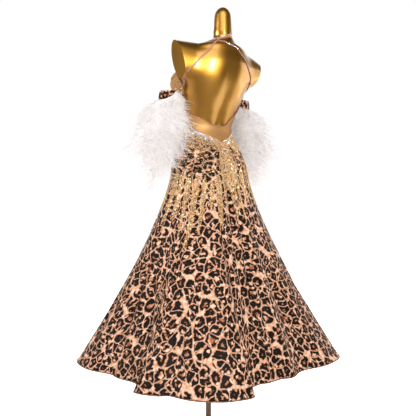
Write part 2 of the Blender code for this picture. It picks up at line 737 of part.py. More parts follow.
def build_trim(body, side, word, row, collection):
    """A strip sewn round the band, with plumes that leave every other length of it."""
    name, over, swell, tip, hang = row
    lengths = 2 * PLUMES_PER_STRIP + 1
    around = -side * np.linspace(-STRIP_SWEEP / 2, STRIP_SWEEP / 2, lengths + 1)
    puffed = BAND_SWELL * (1 - abs(over) / (BAND_DEPTH / 2))
    inner = BAND_RADIUS + puffed + GATHER_DEPTH + CLOTH + FIT_GAP
    top = BAND_HEIGHT + over + STRIP_TALL / 2
    strip = np.stack([arm_ring(side, around, inner + STRIP_THICK, top),
                      arm_ring(side, around, inner + STRIP_THICK, top - STRIP_TALL),
                      arm_ring(side, around, inner, top - STRIP_TALL / 2)], 1)
    faces = [(0, 1, 2), (3 * lengths + 2, 3 * lengths + 1, 3 * lengths)]
    for length in range(lengths):
        near, far = 3 * length, 3 * length + 3
        faces += [(near + 1, far + 1, far + 2, near + 2), (near + 2, far + 2, far, near)]
        if length % 2 == 0:
            faces.append((near, far, far + 1, near + 1))
    middles = (around[1:-1:2] + around[2::2]) / 2
    plumes = plume_rings(body, side, middles, swell, tip, hang, inner, top)
    start = 3 * (lengths + 1)
    for index in range(PLUMES_PER_STRIP):
        root = 6 * index + 3
        ring = (root, root + 3, root + 4, root + 1)
        for _ in PLUME_STATIONS:
            grown = tuple(range(start, start + 4))
            faces += [(ring[c], ring[c - 3], grown[c - 3], grown[c]) for c in range(4)]
            ring = grown
            start += 4
        faces += [(ring[c], ring[c - 3], start) for c in range(4)]
        start += 1
    mesh = bpy.data.meshes.new("trim")
    mesh.from_pydata(np.concatenate([strip.reshape(-1, 3), plumes.reshape(-1, 3)]).tolist(), [], faces)
    shell = bmesh.new()
    shell.from_mesh(mesh)
    bmesh.ops.recalc_face_normals(shell, faces=shell.faces[:])
    shell.to_mesh(mesh)
    shell.free()
    add_object(f"feathers_{word}_{name}", mesh, PLUME, collection)


def plume_rings(body, side, angles, swell, tip, hang, inner, top):
    """Corners of every plume: four at each station, then its tip, swept out, over and down."""
    index = np.arange(len(angles))
    lift = PLUME_LIFT + PLUME_LIFT_VARIES * plume_wave(index, 1)
    hang = hang * (1 + PLUME_HANG_VARIES * plume_wave(index, 2))
    swell = swell * (1 + PLUME_SWELL_VARIES * plume_wave(index, 3))
    corners = []
    for share, spread, width in PLUME_STATIONS:
        radius = swell + (tip - swell) * (1 - spread) if share > 0.5 else inner + (swell - inner) * spread
        height = top - hang * share + lift * (1 - share)
        for sideways, outward in ((-1, 1), (1, 1), (1, -1), (-1, -1)):
            turn = angles - side * sideways * width / 2 / radius
            reach = radius + outward * width * 0.3
            corners.append(arm_ring(side, turn, reach, height, PLUME_DRIFT * spread))
    corners.append(arm_ring(side, angles, tip, top - hang, PLUME_DRIFT))
    layer_gap = 0.004 + 0.06 * (np.mean(swell) - 0.06)
    return clear_of_dress(body, np.stack(corners, 1), layer_gap)


def main():
    clear_scene()
    parts = new_collection(NAME)
    build_stand(parts)
    body = Body(build_form(parts))
    build_print_panels(body, parts)
    build_yokes(body, parts)
    build_halter(body, parts)
    build_zip(body, parts)
    build_bindings(body, parts)
    build_straps(body, parts)
    build_neck(body, parts)
    for side, word in ((1, "left"), (-1, "right")):
        build_arm_band(body, side, word, parts)
        for row in TRIM:
            build_trim(body, side, word, row, parts)


main()
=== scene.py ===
import math

import bmesh
import bpy
import numpy as np
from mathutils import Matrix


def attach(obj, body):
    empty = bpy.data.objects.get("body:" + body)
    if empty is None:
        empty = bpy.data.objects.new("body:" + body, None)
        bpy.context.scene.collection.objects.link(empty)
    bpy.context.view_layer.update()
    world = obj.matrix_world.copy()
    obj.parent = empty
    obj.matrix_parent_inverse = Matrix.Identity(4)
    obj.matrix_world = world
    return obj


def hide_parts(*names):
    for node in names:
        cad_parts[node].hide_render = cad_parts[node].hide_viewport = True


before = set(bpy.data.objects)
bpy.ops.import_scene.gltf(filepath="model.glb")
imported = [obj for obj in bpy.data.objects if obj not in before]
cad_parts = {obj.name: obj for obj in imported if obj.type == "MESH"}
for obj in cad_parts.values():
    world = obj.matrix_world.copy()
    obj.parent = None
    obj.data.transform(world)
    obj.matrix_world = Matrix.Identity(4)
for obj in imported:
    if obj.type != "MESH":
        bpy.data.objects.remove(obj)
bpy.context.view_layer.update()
print("frame loaded:", len(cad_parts), "nodes")


def linear(hexColour):  # sRGB hex to linear RGBA
    parts = [int(hexColour[i:i + 2], 16) / 255 for i in (1, 3, 5)]
    return tuple(p / 12.92 if p <= 0.04045 else ((p + 0.055) / 1.055) ** 2.4 for p in parts) + (1.0,)


def setNode(tree, node, settings):
    # a setting is a property, a ramp's stops, or a socket given a number, a colour or a link
    for key, value in settings.items():
        if key == "stops":
            elements = node.color_ramp.elements
            while len(elements) < len(value):
                elements.new(0.5)
            for element, (place, colour) in zip(elements, value):
                element.position = place
                element.color = linear(colour) if isinstance(colour, str) else (colour,) * 3 + (1,)
        elif isinstance(value, bpy.types.NodeSocket):
            tree.links.new(value, node.inputs[key])
        elif isinstance(key, int) or key in node.inputs:
            node.inputs[key].default_value = linear(value) if isinstance(value, str) else value
        else:
            setattr(node, key, value)


def addNode(tree, kind, settings):  # adds a node and returns its outputs
    node = tree.nodes.new("ShaderNode" + kind)
    setNode(tree, node, settings)
    return node.outputs


def newMaterial(name, settings):
    made = bpy.data.materials.new(name)
    made.use_nodes = True
    shader = made.node_tree.nodes["Principled BSDF"]
    setNode(made.node_tree, shader, settings)
    return made, made.node_tree, shader


def shadedMaterial(name, settings, kind, details, stops, bump=None):
    # the colour runs along a fine texture, or along the "tint" that the mesh carries
    made, tree, shader = newMaterial(name, settings)
    if kind != "Attribute":
        details = {**details, "Vector": addNode(tree, "TexCoord", {})["Object"]}
    along = addNode(tree, kind, details)["Fac"]
    setNode(tree, shader, {"Base Color": addNode(tree, "ValToRGB", {"Fac": along, "stops": stops})["Color"]})
    if bump:
        strength, distance = bump
        raised = addNode(tree, "Bump", {"Strength": strength, "Distance": distance, "Height": along})
        setNode(tree, shader, {"Normal": raised["Normal"]})
    return made


def unit(vectors):
    return vectors / np.maximum(np.linalg.norm(vectors, axis=-1, keepdims=True), 1e-6)


def smoothCurve(knots, values, at):  # cubic through the knots, slopes taken from the neighbours
    knots, values = np.asarray(knots, float), np.asarray(values, float)
    at = np.clip(np.asarray(at, float), knots[0], knots[-1])
    slopes = np.gradient(values, knots)
    low = np.clip(np.searchsorted(knots, at) - 1, 0, len(knots) - 2)
    gap = knots[low + 1] - knots[low]
    u = (at - knots[low]) / gap
    start = (2 * u**3 - 3 * u**2 + 1) * values[low] + (u**3 - 2 * u**2 + u) * gap * slopes[low]
    end = (3 * u**2 - 2 * u**3) * values[low + 1] + (u**3 - u**2) * gap * slopes[low + 1]
    return start + end


def newMesh(name, points, faces, smooth=True):
    mesh = bpy.data.meshes.new(name)
    mesh.from_pydata(points.reshape(-1, 3), [], faces)
    mesh.update()
    if smooth:
        mesh.shade_smooth()
    return mesh


def addFact(mesh, name, values):  # a number for each corner, which a material reads by its name
    layer = mesh.attributes.new(name, "FLOAT", "POINT")
    layer.data.foreach_set("value", np.ravel(values).astype(np.float32))


def gridMesh(name, points, closedRound=False, flatPlace=None):
    # rows from the top, turns growing along a row, so the faces look outward
    rows, columns = points.shape[:2]
    spans = columns if closedRound else columns - 1
    row, column = np.meshgrid(np.arange(rows - 1), np.arange(spans), indexing="ij")
    after = (column + 1) % columns
    faces = np.stack([row * columns + column, row * columns + after,
                      (row + 1) * columns + after, (row + 1) * columns + column], -1).reshape(-1, 4)
    mesh = newMesh(name, points, faces)
    if flatPlace is not None:  # where each corner lies on the flat cloth, in metres
        layer = mesh.uv_layers.new(name="cut")
        layer.data.foreach_set("uv", flatPlace.reshape(-1, 2)[faces.ravel()].ravel())
    return mesh


def tubeMesh(name, path, radius, closedRound=False, sides=10):  # a round cord carried along a path
    along = np.roll(path, -1, 0) - np.roll(path, 1, 0) if closedRound else np.gradient(path, axis=0)
    tangent = unit(along)
    across = unit(np.cross(tangent, (0.31, 0.12, 0.94)))  # aside of a slant that no path follows
    upward = np.cross(across, tangent)
    angle = np.linspace(0, 2 * math.pi, sides, endpoint=False)[None, :, None]
    ring = path[:, None] + radius * (across[:, None] * np.cos(angle) + upward[:, None] * np.sin(angle))
    if closedRound:
        ring = np.concatenate([ring, ring[:1]], 0)
    else:
        ring = np.concatenate([path[:1, None].repeat(sides, 1), ring, path[-1:, None].repeat(sides, 1)], 0)
    mesh = gridMesh(name, ring, closedRound=True)
    welded = bmesh.new()
    welded.from_mesh(mesh)
    bmesh.ops.remove_doubles(welded, verts=welded.verts[:], dist=1e-6)
    bmesh.ops.recalc_face_normals(welded, faces=welded.faces[:])
    welded.to_mesh(mesh)
    welded.free()
    mesh.shade_smooth()
    return mesh


def manyCopies(name, shape, centres, frames, scales, tints):
    # one small shape at every centre: corner x, y, z along that place's across, down and outward
    corners, faces = shape
    points = centres[:, None] + np.einsum("nvk,nkj->nvj", corners[None] * scales[:, None], frames)
    allFaces = faces[None] + len(corners) * np.arange(len(centres))[:, None, None]
    mesh = newMesh(name, points, allFaces.reshape(-1, faces.shape[1]), smooth=False)
    addFact(mesh, "tint", np.repeat(tints, len(corners)))
    return mesh


def addObject(name, data):
    made = bpy.data.objects.new(name, data)
    bpy.context.scene.collection.objects.link(made)
    return made


def addPiece(name, mesh, material, replaced=None, wall=None):
    piece = addObject(name, mesh)
    mesh.materials.append(material)
    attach(piece, "root")
    if replaced:
        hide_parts(replaced)
    if wall:  # the mesh is the inner face of the cloth
        outward = piece.modifiers.new("thickness", "SOLIDIFY")
        outward.thickness = wall
        outward.offset = 1.0
    return piece


def declareCloth(grid, closedRound=False):
    # a round grid is closed by repeating its first column; the result is neither kept nor returned
    if closedRound:
        grid = np.concatenate([grid, grid[:, :1]], 1)


# the dress form

dressForm = {
    "top": 1.748, "dome": 0.034, "bottom": 0.940,
    "capReach": 0.208, "capTop": 1.590, "capHalfHeight": 0.066, "capHalfDepth": 0.037,
    "capTaller": 0.14, "capDeeper": 0.24, "capLean": math.radians(15), "capCentre": 0.070,
    "rightCapFrom": 0.100, "rightCapFall": 0.035, "rightCapTaper": 0.36, "rightCapPower": 1.6,
    "underCaps": 1.42, "bustApart": 0.076, "bustHeight": 1.462, "bustCentre": -0.047,
    "bustSize": (0.066, 0.066, 0.062), "blend": 0.026, "spineDepth": 0.013, "spineHalfWidth": 0.027,
    "nearest": 0.002, "farthest": 0.26, "castSteps": 44, "halvings": 13, "sharpAngle": math.radians(38),
    "columns": 188, "chestFrom": 1.38, "neckFrom": 1.63, "waistRows": 56, "chestRows": 106,
    "neckRows": 16, "domeRows": 24, "domeShare": 0.985,
}
formColumns = ("height", "centre", "halfWidth", "back", "front")
formSections = np.array([
    (0.940, 0.006, 0.150, 0.112, 0.104), (1.005, 0.008, 0.166, 0.126, 0.112),
    (1.075, 0.008, 0.170, 0.132, 0.114), (1.125, 0.004, 0.163, 0.123, 0.112),
    (1.183, -0.005, 0.147, 0.106, 0.106), (1.226, -0.016, 0.130, 0.092, 0.100),
    (1.268, -0.022, 0.117, 0.083, 0.093), (1.330, -0.002, 0.120, 0.086, 0.104),
    (1.400, 0.030, 0.134, 0.098, 0.124), (1.466, 0.052, 0.142, 0.106, 0.132),
    (1.520, 0.066, 0.140, 0.104, 0.128), (1.560, 0.078, 0.120, 0.085, 0.105),
    (1.590, 0.087, 0.096, 0.068, 0.082), (1.604, 0.093, 0.062, 0.052, 0.058),
    (1.617, 0.097, 0.043, 0.043, 0.045), (1.645, 0.100, 0.038, 0.039, 0.039),
    (1.700, 0.101, 0.034, 0.035, 0.035), (1.748, 0.101, 0.028, 0.030, 0.030)])


def formValue(wanted, height):
    return smoothCurve(formSections[:, 0], formSections[:, formColumns.index(wanted)], height)


def softerMin(first, second, reach):  # the lesser of two, rounded where they meet
    closeness = np.maximum(reach - np.abs(first - second), 0) / reach
    return np.minimum(first, second) - closeness**2 * reach / 4


def formField(x, y, z, section):
    # below zero inside: an oval torso, two shoulder caps and a bust, blended
    f = dressForm
    centre, across, back, front = section
    dome = np.clip((z - (f["top"] - f["dome"])) / f["dome"], 0, 1)
    shrink = np.sqrt(np.maximum(1 - dome**2, 1e-6))
    depth = np.where(y > centre, back, front)
    torso = (np.hypot(x / (across * shrink), (y - centre) / (depth * shrink)) - 1) * across
    size = f["bustSize"]
    bust = np.sqrt(((np.abs(x) - f["bustApart"]) / size[0])**2 + ((y - f["bustCentre"]) / size[1])**2
                   + ((z - f["bustHeight"]) / size[2])**2)
    field = softerMin(torso, (bust - 1) * size[0], f["blend"])
    inward = f["capReach"] - np.abs(x)
    # the right cap falls away and narrows towards its end
    drawn = np.clip((-x - f["rightCapFrom"]) / (f["capReach"] - f["rightCapFrom"]), 0, 1)**f["rightCapPower"]
    tall = (f["capHalfHeight"] + inward * f["capTaller"]) * (1 - f["rightCapTaper"] * drawn)
    deep = f["capHalfDepth"] + inward * f["capDeeper"]
    middle = f["capTop"] - f["rightCapFall"] * drawn - tall
    cap = np.hypot((y - f["capCentre"]) / deep, (z - middle) / tall)
    return softerMin(field, (cap - 1) * deep, f["blend"])


def measuredRadius(turns, heights):  # how far out the form reaches, by halving on its field
    f = dressForm
    turn, height = np.meshgrid(np.radians(turns), heights)
    section = [formValue(name, height) for name in formColumns[1:]]
    sine, cosine = np.sin(turn), np.cos(turn)

    def inside(reach):
        return formField(reach * sine, section[0] + reach * cosine, height, section) < 0

    steps = np.linspace(f["nearest"], f["farthest"], f["castSteps"])
    low, high = np.full(turn.shape, steps[0]), np.full(turn.shape, steps[-1])
    for first, second in zip(steps[:-1], steps[1:]):
        filled = inside(first)
        low, high = np.where(filled, first, low), np.where(filled, second, high)
    for _ in range(f["halvings"]):
        middle = (low + high) / 2
        filled = inside(middle)
        low, high = np.where(filled, middle, low), np.where(filled, high, middle)
    return low


# the form's radius every 1.5 degrees, with heights closest together over chest and shoulders
tableTurns = np.linspace(0, 360, 241)
tableHeights = np.concatenate([np.linspace(0.92, 1.36, 60)[:-1], np.linspace(1.36, 1.64, 130)[:-1],
                               np.linspace(1.64, 1.714, 10)])
radiusTable = measuredRadius(tableTurns, tableHeights)


def formRadius(turn, height):  # read from the table, straight between its places
    turn, height = np.broadcast_arrays(np.asarray(turn, float) % 360, np.asarray(height, float))
    along = turn / 360 * (len(tableTurns) - 1)
    column = np.minimum(along.astype(int), len(tableTurns) - 2)
    height = np.clip(height, tableHeights[0], tableHeights[-1])
    row = np.clip(np.searchsorted(tableHeights, height) - 1, 0, len(tableHeights) - 2)
    u = along - column
    v = (height - tableHeights[row]) / (tableHeights[row + 1] - tableHeights[row])
    lower = radiusTable[row, column] * (1 - u) + radiusTable[row, column + 1] * u
    upper = radiusTable[row + 1, column] * (1 - u) + radiusTable[row + 1, column + 1] * u
    return lower * (1 - v) + upper * v


def onSection(turn, height, radius):
    turn, height = np.broadcast_arrays(np.asarray(turn, float), np.asarray(height, float))
    around = np.radians(turn)
    y = formValue("centre", height) + radius * np.cos(around)
    return np.stack([radius * np.sin(around), y, height], -1)


def upwardOn(place, turn, height, step):  # a surface is given as place(turn, height)
    return place(turn, height + step) - place(turn, height - step)


def outwardOn(place, turn, height):  # unit normal
    aside = place(turn + 1.2, height) - place(turn - 1.2, height)
    return unit(np.cross(upwardOn(place, turn, height, 0.004), aside))


def formPlace(turn, height):
    return onSection(turn, height, formRadius(turn, height))


def onForm(turn, height, lift):
    turn, height = np.broadcast_arrays(np.asarray(turn, float), np.asarray(height, float))
    return formPlace(turn, height) + outwardOn(formPlace, turn, height) * np.asarray(lift)[..., None]


def turnsOf(points):
    centre = formValue("centre", points[..., 2])
    return np.degrees(np.arctan2(points[..., 0], points[..., 1] - centre)), points[..., 2]


def evenly(path, count):  # the same line with its points spread evenly along it
    along = np.concatenate([[0], np.cumsum(np.linalg.norm(np.diff(path, axis=0), axis=1))])
    wanted = np.linspace(0, along[-1], count)
    return np.stack([np.interp(wanted, along, path[:, axis]) for axis in range(3)], 1)


# sprayed metallic lacquer: a slow unevenness in the gloss, and a very fine orange peel
goldLacquer, tree, shader = newMaterial("gold lacquer on fibreglass", {
    "Metallic": 1.0, "Coat Weight": 0.85, "Coat IOR": 1.5, "Coat Roughness": 0.17})
place = addNode(tree, "TexCoord", {})["Object"]
cloud = addNode(tree, "TexNoise", {"Scale": 9.0, "Detail": 2.0, "Vector": place})["Fac"]
peel = addNode(tree, "TexNoise", {"Scale": 420.0, "Detail": 1.0, "Vector": place})["Fac"]
setNode(tree, shader, {
    "Base Color": addNode(tree, "Mix", {"data_type": "RGBA", 0: cloud, 6: "#BA842A", 7: "#C8943C"})[2],
    "Roughness": addNode(tree, "Math", {"operation": "MULTIPLY_ADD", 0: cloud, 1: 0.08, 2: 0.33})[0],
    "Normal": addNode(tree, "Bump", {"Strength": 0.03, "Distance": 0.0004, "Height": peel})["Normal"]})


def buildForm():
    f = dressForm
    turns = np.linspace(0, 360, f["columns"], endpoint=False)
    domeFrom = f["top"] - f["dome"]
    heights = np.concatenate([
        np.linspace(f["bottom"], f["chestFrom"], f["waistRows"])[:-1],
        np.linspace(f["chestFrom"], f["neckFrom"], f["chestRows"])[:-1],
        np.linspace(f["neckFrom"], domeFrom, f["neckRows"])[:-1],
        domeFrom + f["dome"] * np.sin(np.linspace(0, f["domeShare"], f["domeRows"]) * math.pi / 2)])[::-1]
    radius = measuredRadius(turns, heights)
    # a groove down the spine, deepest at the small of the back
    lengthwise = smoothCurve((0.9, 1.14, 1.24, 1.36, 1.50, 1.60), (0, 0, 0.6, 1, 0.35, 0), heights)[:, None]
    aside = radius * np.sin(np.radians(turns))
    behind = np.cos(np.radians(turns)) > 0
    radius = radius - f["spineDepth"] * lengthwise * np.exp(-(aside / f["spineHalfWidth"])**2) * behind
    mesh = gridMesh("dressForm", onSection(turns[None], heights[:, None], radius), closedRound=True)
    shell = bmesh.new()
    shell.from_mesh(mesh)
    for side in (-1, 1):  # the caps are cut flat
        faces = [face for face in shell.faces if face.calc_center_median().z > f["underCaps"]]
        edges = {edge for face in faces for edge in face.edges}
        corners = {corner for face in faces for corner in face.verts}
        bmesh.ops.bisect_plane(shell, geom=[*corners, *edges, *faces], dist=1e-6, clear_outer=True,
                               plane_co=(side * f["capReach"], 0, f["capTop"]),
                               plane_no=(side * math.cos(f["capLean"]), 0, -math.sin(f["capLean"])))
    bmesh.ops.remove_doubles(shell, verts=shell.verts[:], dist=2e-5)
    bmesh.ops.holes_fill(shell, edges=[edge for edge in shell.edges if edge.is_boundary], sides=0)
    bmesh.ops.recalc_face_normals(shell, faces=shell.faces[:])
    shell.to_mesh(mesh)
    shell.free()
    mesh.shade_smooth()
    mesh.set_sharp_from_angle(angle=f["sharpAngle"])
    addPiece("dressForm", mesh, goldLacquer, "form_torso")


buildForm()
print("dress form made")

# the print and the other materials of the dress

leopard = {
    "ground": "#ECC6AC", "groundWarm": "#D39C7A", "heart": "#984E2C", "heartWarm": "#C4805A",
    "halo": "#74401F", "spot": "#130A06", "cell": 0.0365, "wander": 0.017,
    "beadPitch": 0.0030, "beadLength": 0.0048, "beadReach": 0.62,
}


def printedMaterial(name):
    # stretch satin printed with leopard: every cell of a warped web is a pale channel, then a
    # dark ring broken here and there, then a tan heart; small cells fill in as solid spots.
    # Where "cover" is high, rows of the finest gold beads hide the print
    made, tree, shader = newMaterial(name, {"Specular IOR Level": 0.12})
    place = addNode(tree, "UVMap", {"uv_map": "cut"})["UV"]
    noise = {"noise_dimensions": "2D", "Vector": place}
    drift = addNode(tree, "TexNoise", {**noise, "Scale": 38.0, "Detail": 1.5})["Color"]
    centred = addNode(tree, "VectorMath", {"operation": "SUBTRACT", 0: drift, 1: (0.5, 0.5, 0.5)})[0]
    moved = addNode(tree, "VectorMath", {
        "operation": "MULTIPLY_ADD", 0: centred, 1: (leopard["wander"],) * 3, 2: place})[0]
    cells = {"voronoi_dimensions": "2D", "Vector": moved, "Scale": 1 / leopard["cell"], "Randomness": 1.0}
    edge = addNode(tree, "TexVoronoi", {**cells, "feature": "DISTANCE_TO_EDGE"})["Distance"]
    middle = addNode(tree, "TexVoronoi", {**cells, "feature": "F1"})["Distance"]
    # the web is cut off round where a cell's corners run far from its middle
    scaled = {"operation": "MULTIPLY_ADD"}
    corner = addNode(tree, "Math", {**scaled, 0: middle, 1: -0.75, 2: 0.56})[0]
    web = addNode(tree, "Math", {"operation": "SMOOTH_MIN", 0: edge, 1: corner, 2: 0.10})[0]
    rough = addNode(tree, "TexNoise", {**noise, "Scale": 150.0, "Detail": 1.0})["Fac"]
    breaks = addNode(tree, "TexNoise", {**noise, "Scale": 62.0, "Detail": 0.5})["Fac"]
    cloud = addNode(tree, "TexNoise", {**noise, "Scale": 75.0, "Detail": 2.5})["Fac"]
    # how far inside the ring: within its outer edge, its inner edge, and between its breaks
    outerEdge = addNode(tree, "Math", {**scaled, 0: rough, 1: 0.16, 2: -0.008})[0]
    innerEdge = addNode(tree, "Math", {**scaled, 0: rough, 1: 0.22, 2: 0.262})[0]
    outer = addNode(tree, "Math", {"operation": "SUBTRACT", 0: web, 1: outerEdge})[0]
    inner = addNode(tree, "Math", {"operation": "SUBTRACT", 0: innerEdge, 1: web})[0]
    whole = addNode(tree, "Math", {"operation": "MINIMUM", 0: outer, 1: inner})[0]
    between = addNode(tree, "Math", {**scaled, 0: breaks, 1: 0.9, 2: -0.328})[0]
    ring = addNode(tree, "Math", {"operation": "MINIMUM", 0: whole, 1: between})[0]
    # ink in turn: the source, how steeply it comes in and from where, the ramp, how strong
    shares = []
    for source, steep, start, low, high, strong in ((inner, -14.0, 0.6, 0.0, 1.0, 0.9),
                                                    (ring, 7.0, 0.68, 0.1, 0.6, 0.7),
                                                    (ring, 14.0, 0.5, 0.25, 0.62, 1.0)):
        steeper = addNode(tree, "Math", {**scaled, 0: source, 1: steep, 2: start})[0]
        ramp = addNode(tree, "ValToRGB", {"Fac": steeper, "stops": ((low, 0.0), (high, 1.0))})["Color"]
        shares.append(addNode(tree, "Math", {"operation": "MULTIPLY", 0: ramp, 1: strong})[0])
    clouded = addNode(tree, "ValToRGB", {"Fac": cloud, "stops": ((0.40, 0.0), (0.60, 1.0))})["Color"]
    mix = {"data_type": "RGBA"}
    base = addNode(tree, "Mix", {**mix, 0: clouded, 6: leopard["ground"], 7: leopard["groundWarm"]})[2]
    tan = addNode(tree, "Mix", {**mix, 0: clouded, 6: leopard["heartWarm"], 7: leopard["heart"]})[2]
    for share, ink in zip(shares, (tan, leopard["halo"], leopard["spot"])):
        base = addNode(tree, "Mix", {**mix, 0: share, 6: base, 7: ink})[2]

    pitch = (1 / leopard["beadPitch"], 1 / leopard["beadLength"], 1)
    grid = addNode(tree, "VectorMath", {"operation": "MULTIPLY", 0: place, 1: pitch})[0]
    bead = addNode(tree, "TexVoronoi", {
        "voronoi_dimensions": "2D", "Vector": grid, "Scale": 1.0, "Randomness": 0.75})
    chance = addNode(tree, "SeparateColor", {"Color": bead["Color"]})
    cover = addNode(tree, "Attribute", {"attribute_name": "cover"})["Fac"]
    least = addNode(tree, "Math", {**scaled, 0: chance["Red"], 1: 1.25, 2: 0.04})[0]
    covered = addNode(tree, "Math", {"operation": "GREATER_THAN", 0: cover, 1: least})[0]
    near = addNode(tree, "Math", {"operation": "LESS_THAN", 0: bead["Distance"], 1: leopard["beadReach"]})[0]
    present = addNode(tree, "Math", {"operation": "MULTIPLY", 0: covered, 1: near})[0]
    # each bead cell takes a shade from bronze to near white: partly the beads' own tones, with painted glints
    # at the pale end and painted shade at the dark end
    beadToneAndGlint = addNode(tree, "ValToRGB", {"Fac": chance["Green"], "stops": (
        (0.0, "#7E5226"), (0.3, "#BE8C50"), (0.7, "#E2BD86"), (1.0, "#FFF4DE"))})["Color"]
    swell = addNode(tree, "Math", {"operation": "SUBTRACT", 0: leopard["beadReach"], 1: bead["Distance"]})[0]
    raised = addNode(tree, "Math", {"operation": "MULTIPLY", 0: present, 1: swell})[0]
    setNode(tree, shader, {
        "Base Color": addNode(tree, "Mix", {**mix, 0: present, 6: base, 7: beadToneAndGlint})[2],
        "Metallic": addNode(tree, "Math", {"operation": "MULTIPLY", 0: present, 1: 0.45})[0],
        "Roughness": addNode(tree, "Math", {**scaled, 0: present, 1: -0.22, 2: 0.54})[0],
        "Normal": addNode(tree, "Bump", {"Strength": 0.5, "Distance": 0.0012, "Height": raised})["Normal"]})
    return made


printedSatin = printedMaterial("printed stretch satin")
# the rolled hem's dark browns are painted shade: the shadowed underside of the hem
hemPaintedShade = shadedMaterial("rolled hem in painted shade", {"Roughness": 0.6}, "TexNoise", {"Scale": 60.0, "Detail": 2.0},
                         ((0.4, "#4A2A1C"), (0.6, "#9A6244")))
nudeSatin = shadedMaterial(
    "nude satin binding", {"Roughness": 0.34, "Sheen Weight": 0.2, "Specular IOR Level": 0.55},
    "TexNoise", {"Scale": 260.0, "Detail": 2.0}, ((0.0, "#9C6144"), (1.0, "#C08A68")), (0.2, 0.0004))
darkSteel = shadedMaterial(
    "powder-coated steel", {"Roughness": 0.45, "Metallic": 0.6},
    "TexNoise", {"Scale": 600.0, "Detail": 2.0}, ((0.0, "#5E4B3D"), (1.0, "#7C6858")), (0.15, 0.0003))

# even fine net: its 1 mm holes let the gold form tint it, drawn as a small cell pattern
powerMesh, tree, shader = newMaterial("nude power mesh over the form", {
    "Roughness": 0.52, "Metallic": 0.55, "Sheen Weight": 0.12, "Sheen Roughness": 0.35})
place = addNode(tree, "TexCoord", {})["Object"]
net = addNode(tree, "TexVoronoi", {"Scale": 700.0, "Randomness": 0.3, "Vector": place})["Distance"]
cloud = addNode(tree, "TexNoise", {"Scale": 14.0, "Detail": 2.0, "Vector": place})["Fac"]
skin = addNode(tree, "Mix", {"data_type": "RGBA", 0: cloud, 6: "#A6733A", 7: "#BE894A"})[2]
yarn = addNode(tree, "ValToRGB", {"Fac": net, "stops": ((0.2, 0.0), (0.6, 1.0))})["Color"]
setNode(tree, shader, {
    "Base Color": addNode(tree, "Mix", {"data_type": "RGBA", 0: yarn, 6: skin, 7: "#C89A60"})[2],
    "Normal": addNode(tree, "Bump", {"Strength": 0.15, "Distance": 0.0003, "Height": net})["Normal"]})

# each bead and stone has its own shade: beads from bronze to pale champagne
ownTint = ("Attribute", {"attribute_name": "tint"})
goldBeads = shadedMaterial(
    "gold-lined glass beads",
    {"Metallic": 0.35, "Roughness": 0.26, "Coat Weight": 0.6, "Coat Roughness": 0.06},
    *ownTint, ((0.0, "#8E5E2A"), (0.35, "#D2A05C"), (0.75, "#F2D09A"), (1.0, "#FFF8E8")))
crystal = shadedMaterial(
    "foil-backed crystal", {"Metallic": 0.7, "Roughness": 0.07, "Coat Weight": 0.6, "Coat Roughness": 0.03},
    *ownTint, ((0.0, "#BFC3C6"), (0.4, "#F4F1EE"), (0.7, "#E7D6E2"), (1.0, "#D9E6E6")))

# bleached white barbs, a little pink-grey at some tips and quills; the faint glow stands for
# the light that down passes on from barb to barb
ostrich = shadedMaterial(
    "ostrich feather", {"Roughness": 0.75, "Sheen Weight": 0.4, "Sheen Roughness": 0.5,
                        "Specular IOR Level": 0.2, "Emission Color": "#FFFDFA", "Emission Strength": 0.085},
    *ownTint, ((0.0, "#FFFEFF"), (0.6, "#F3F1F1"), (0.90, "#DBD4D3"), (1.0, "#A08176")))
tree = ostrich.node_tree
shader = tree.nodes["Principled BSDF"]
barbColour = shader.inputs["Base Color"].links[0].from_socket
through = addNode(tree, "BsdfTranslucent", {"Color": barbColour})[0]
both = addNode(tree, "MixShader", {0: 0.5, 1: shader.outputs[0], 2: through})[0]
setNode(tree, tree.nodes["Material Output"], {"Surface": both})

for name in ("stand_base", "stand_pole"):
    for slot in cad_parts[name].material_slots:
        slot.material = darkSteel
print("materials made")

# the skirt and the printed panels

skirt = {
    "seat": 1.075, "hem": 0.330, "cone": 0.495, "flarePower": 1.22, "foldPower": 1.6, "rollPower": 3,
    "lift": 0.0013, "thickness": 0.0010, "columns": 440, "fittedRows": 26, "skirtRows": 82,
    "creaseFactor": 1.7, "creaseEnds": 0.8, "seam": 0.0004, "hemTurnUp": 0.020, "hemStep": 0.0007,
    "hemStepOver": 0.0015, "cordRadius": 0.0021, "cordUp": 0.0010, "cordOut": 0.0006, "cordSteps": 700,
    "printShift": 0.37,
}
hemFolds = np.array([  # turn, radius, and how far the fold leans over, in degrees
    (-176, 0.440, 0), (-160, 0.428, 0), (-144, 0.500, 0), (-128, 0.530, 0),
    (-108, 0.452, 0), (-92, 0.430, 0), (-74, 0.500, 0), (-55, 0.541, 0),
    (-42, 0.490, 0), (-23, 0.405, 0), (-15, 0.416, 2), (-7, 0.398, 0),
    (3, 0.402, 0), (9, 0.402, 0), (14.5, 0.448, 4), (19, 0.500, -2.5),
    (25, 0.526, 0), (33, 0.527, 0), (41, 0.515, 0), (47, 0.489, 2),
    (54, 0.503, 0), (61, 0.500, 3), (66, 0.455, -3), (71, 0.430, 0),
    (79, 0.436, 3), (90, 0.438, 0), (103, 0.500, 0), (119, 0.532, 0),
    (134, 0.480, 0), (148, 0.432, 0), (163, 0.510, 0)])
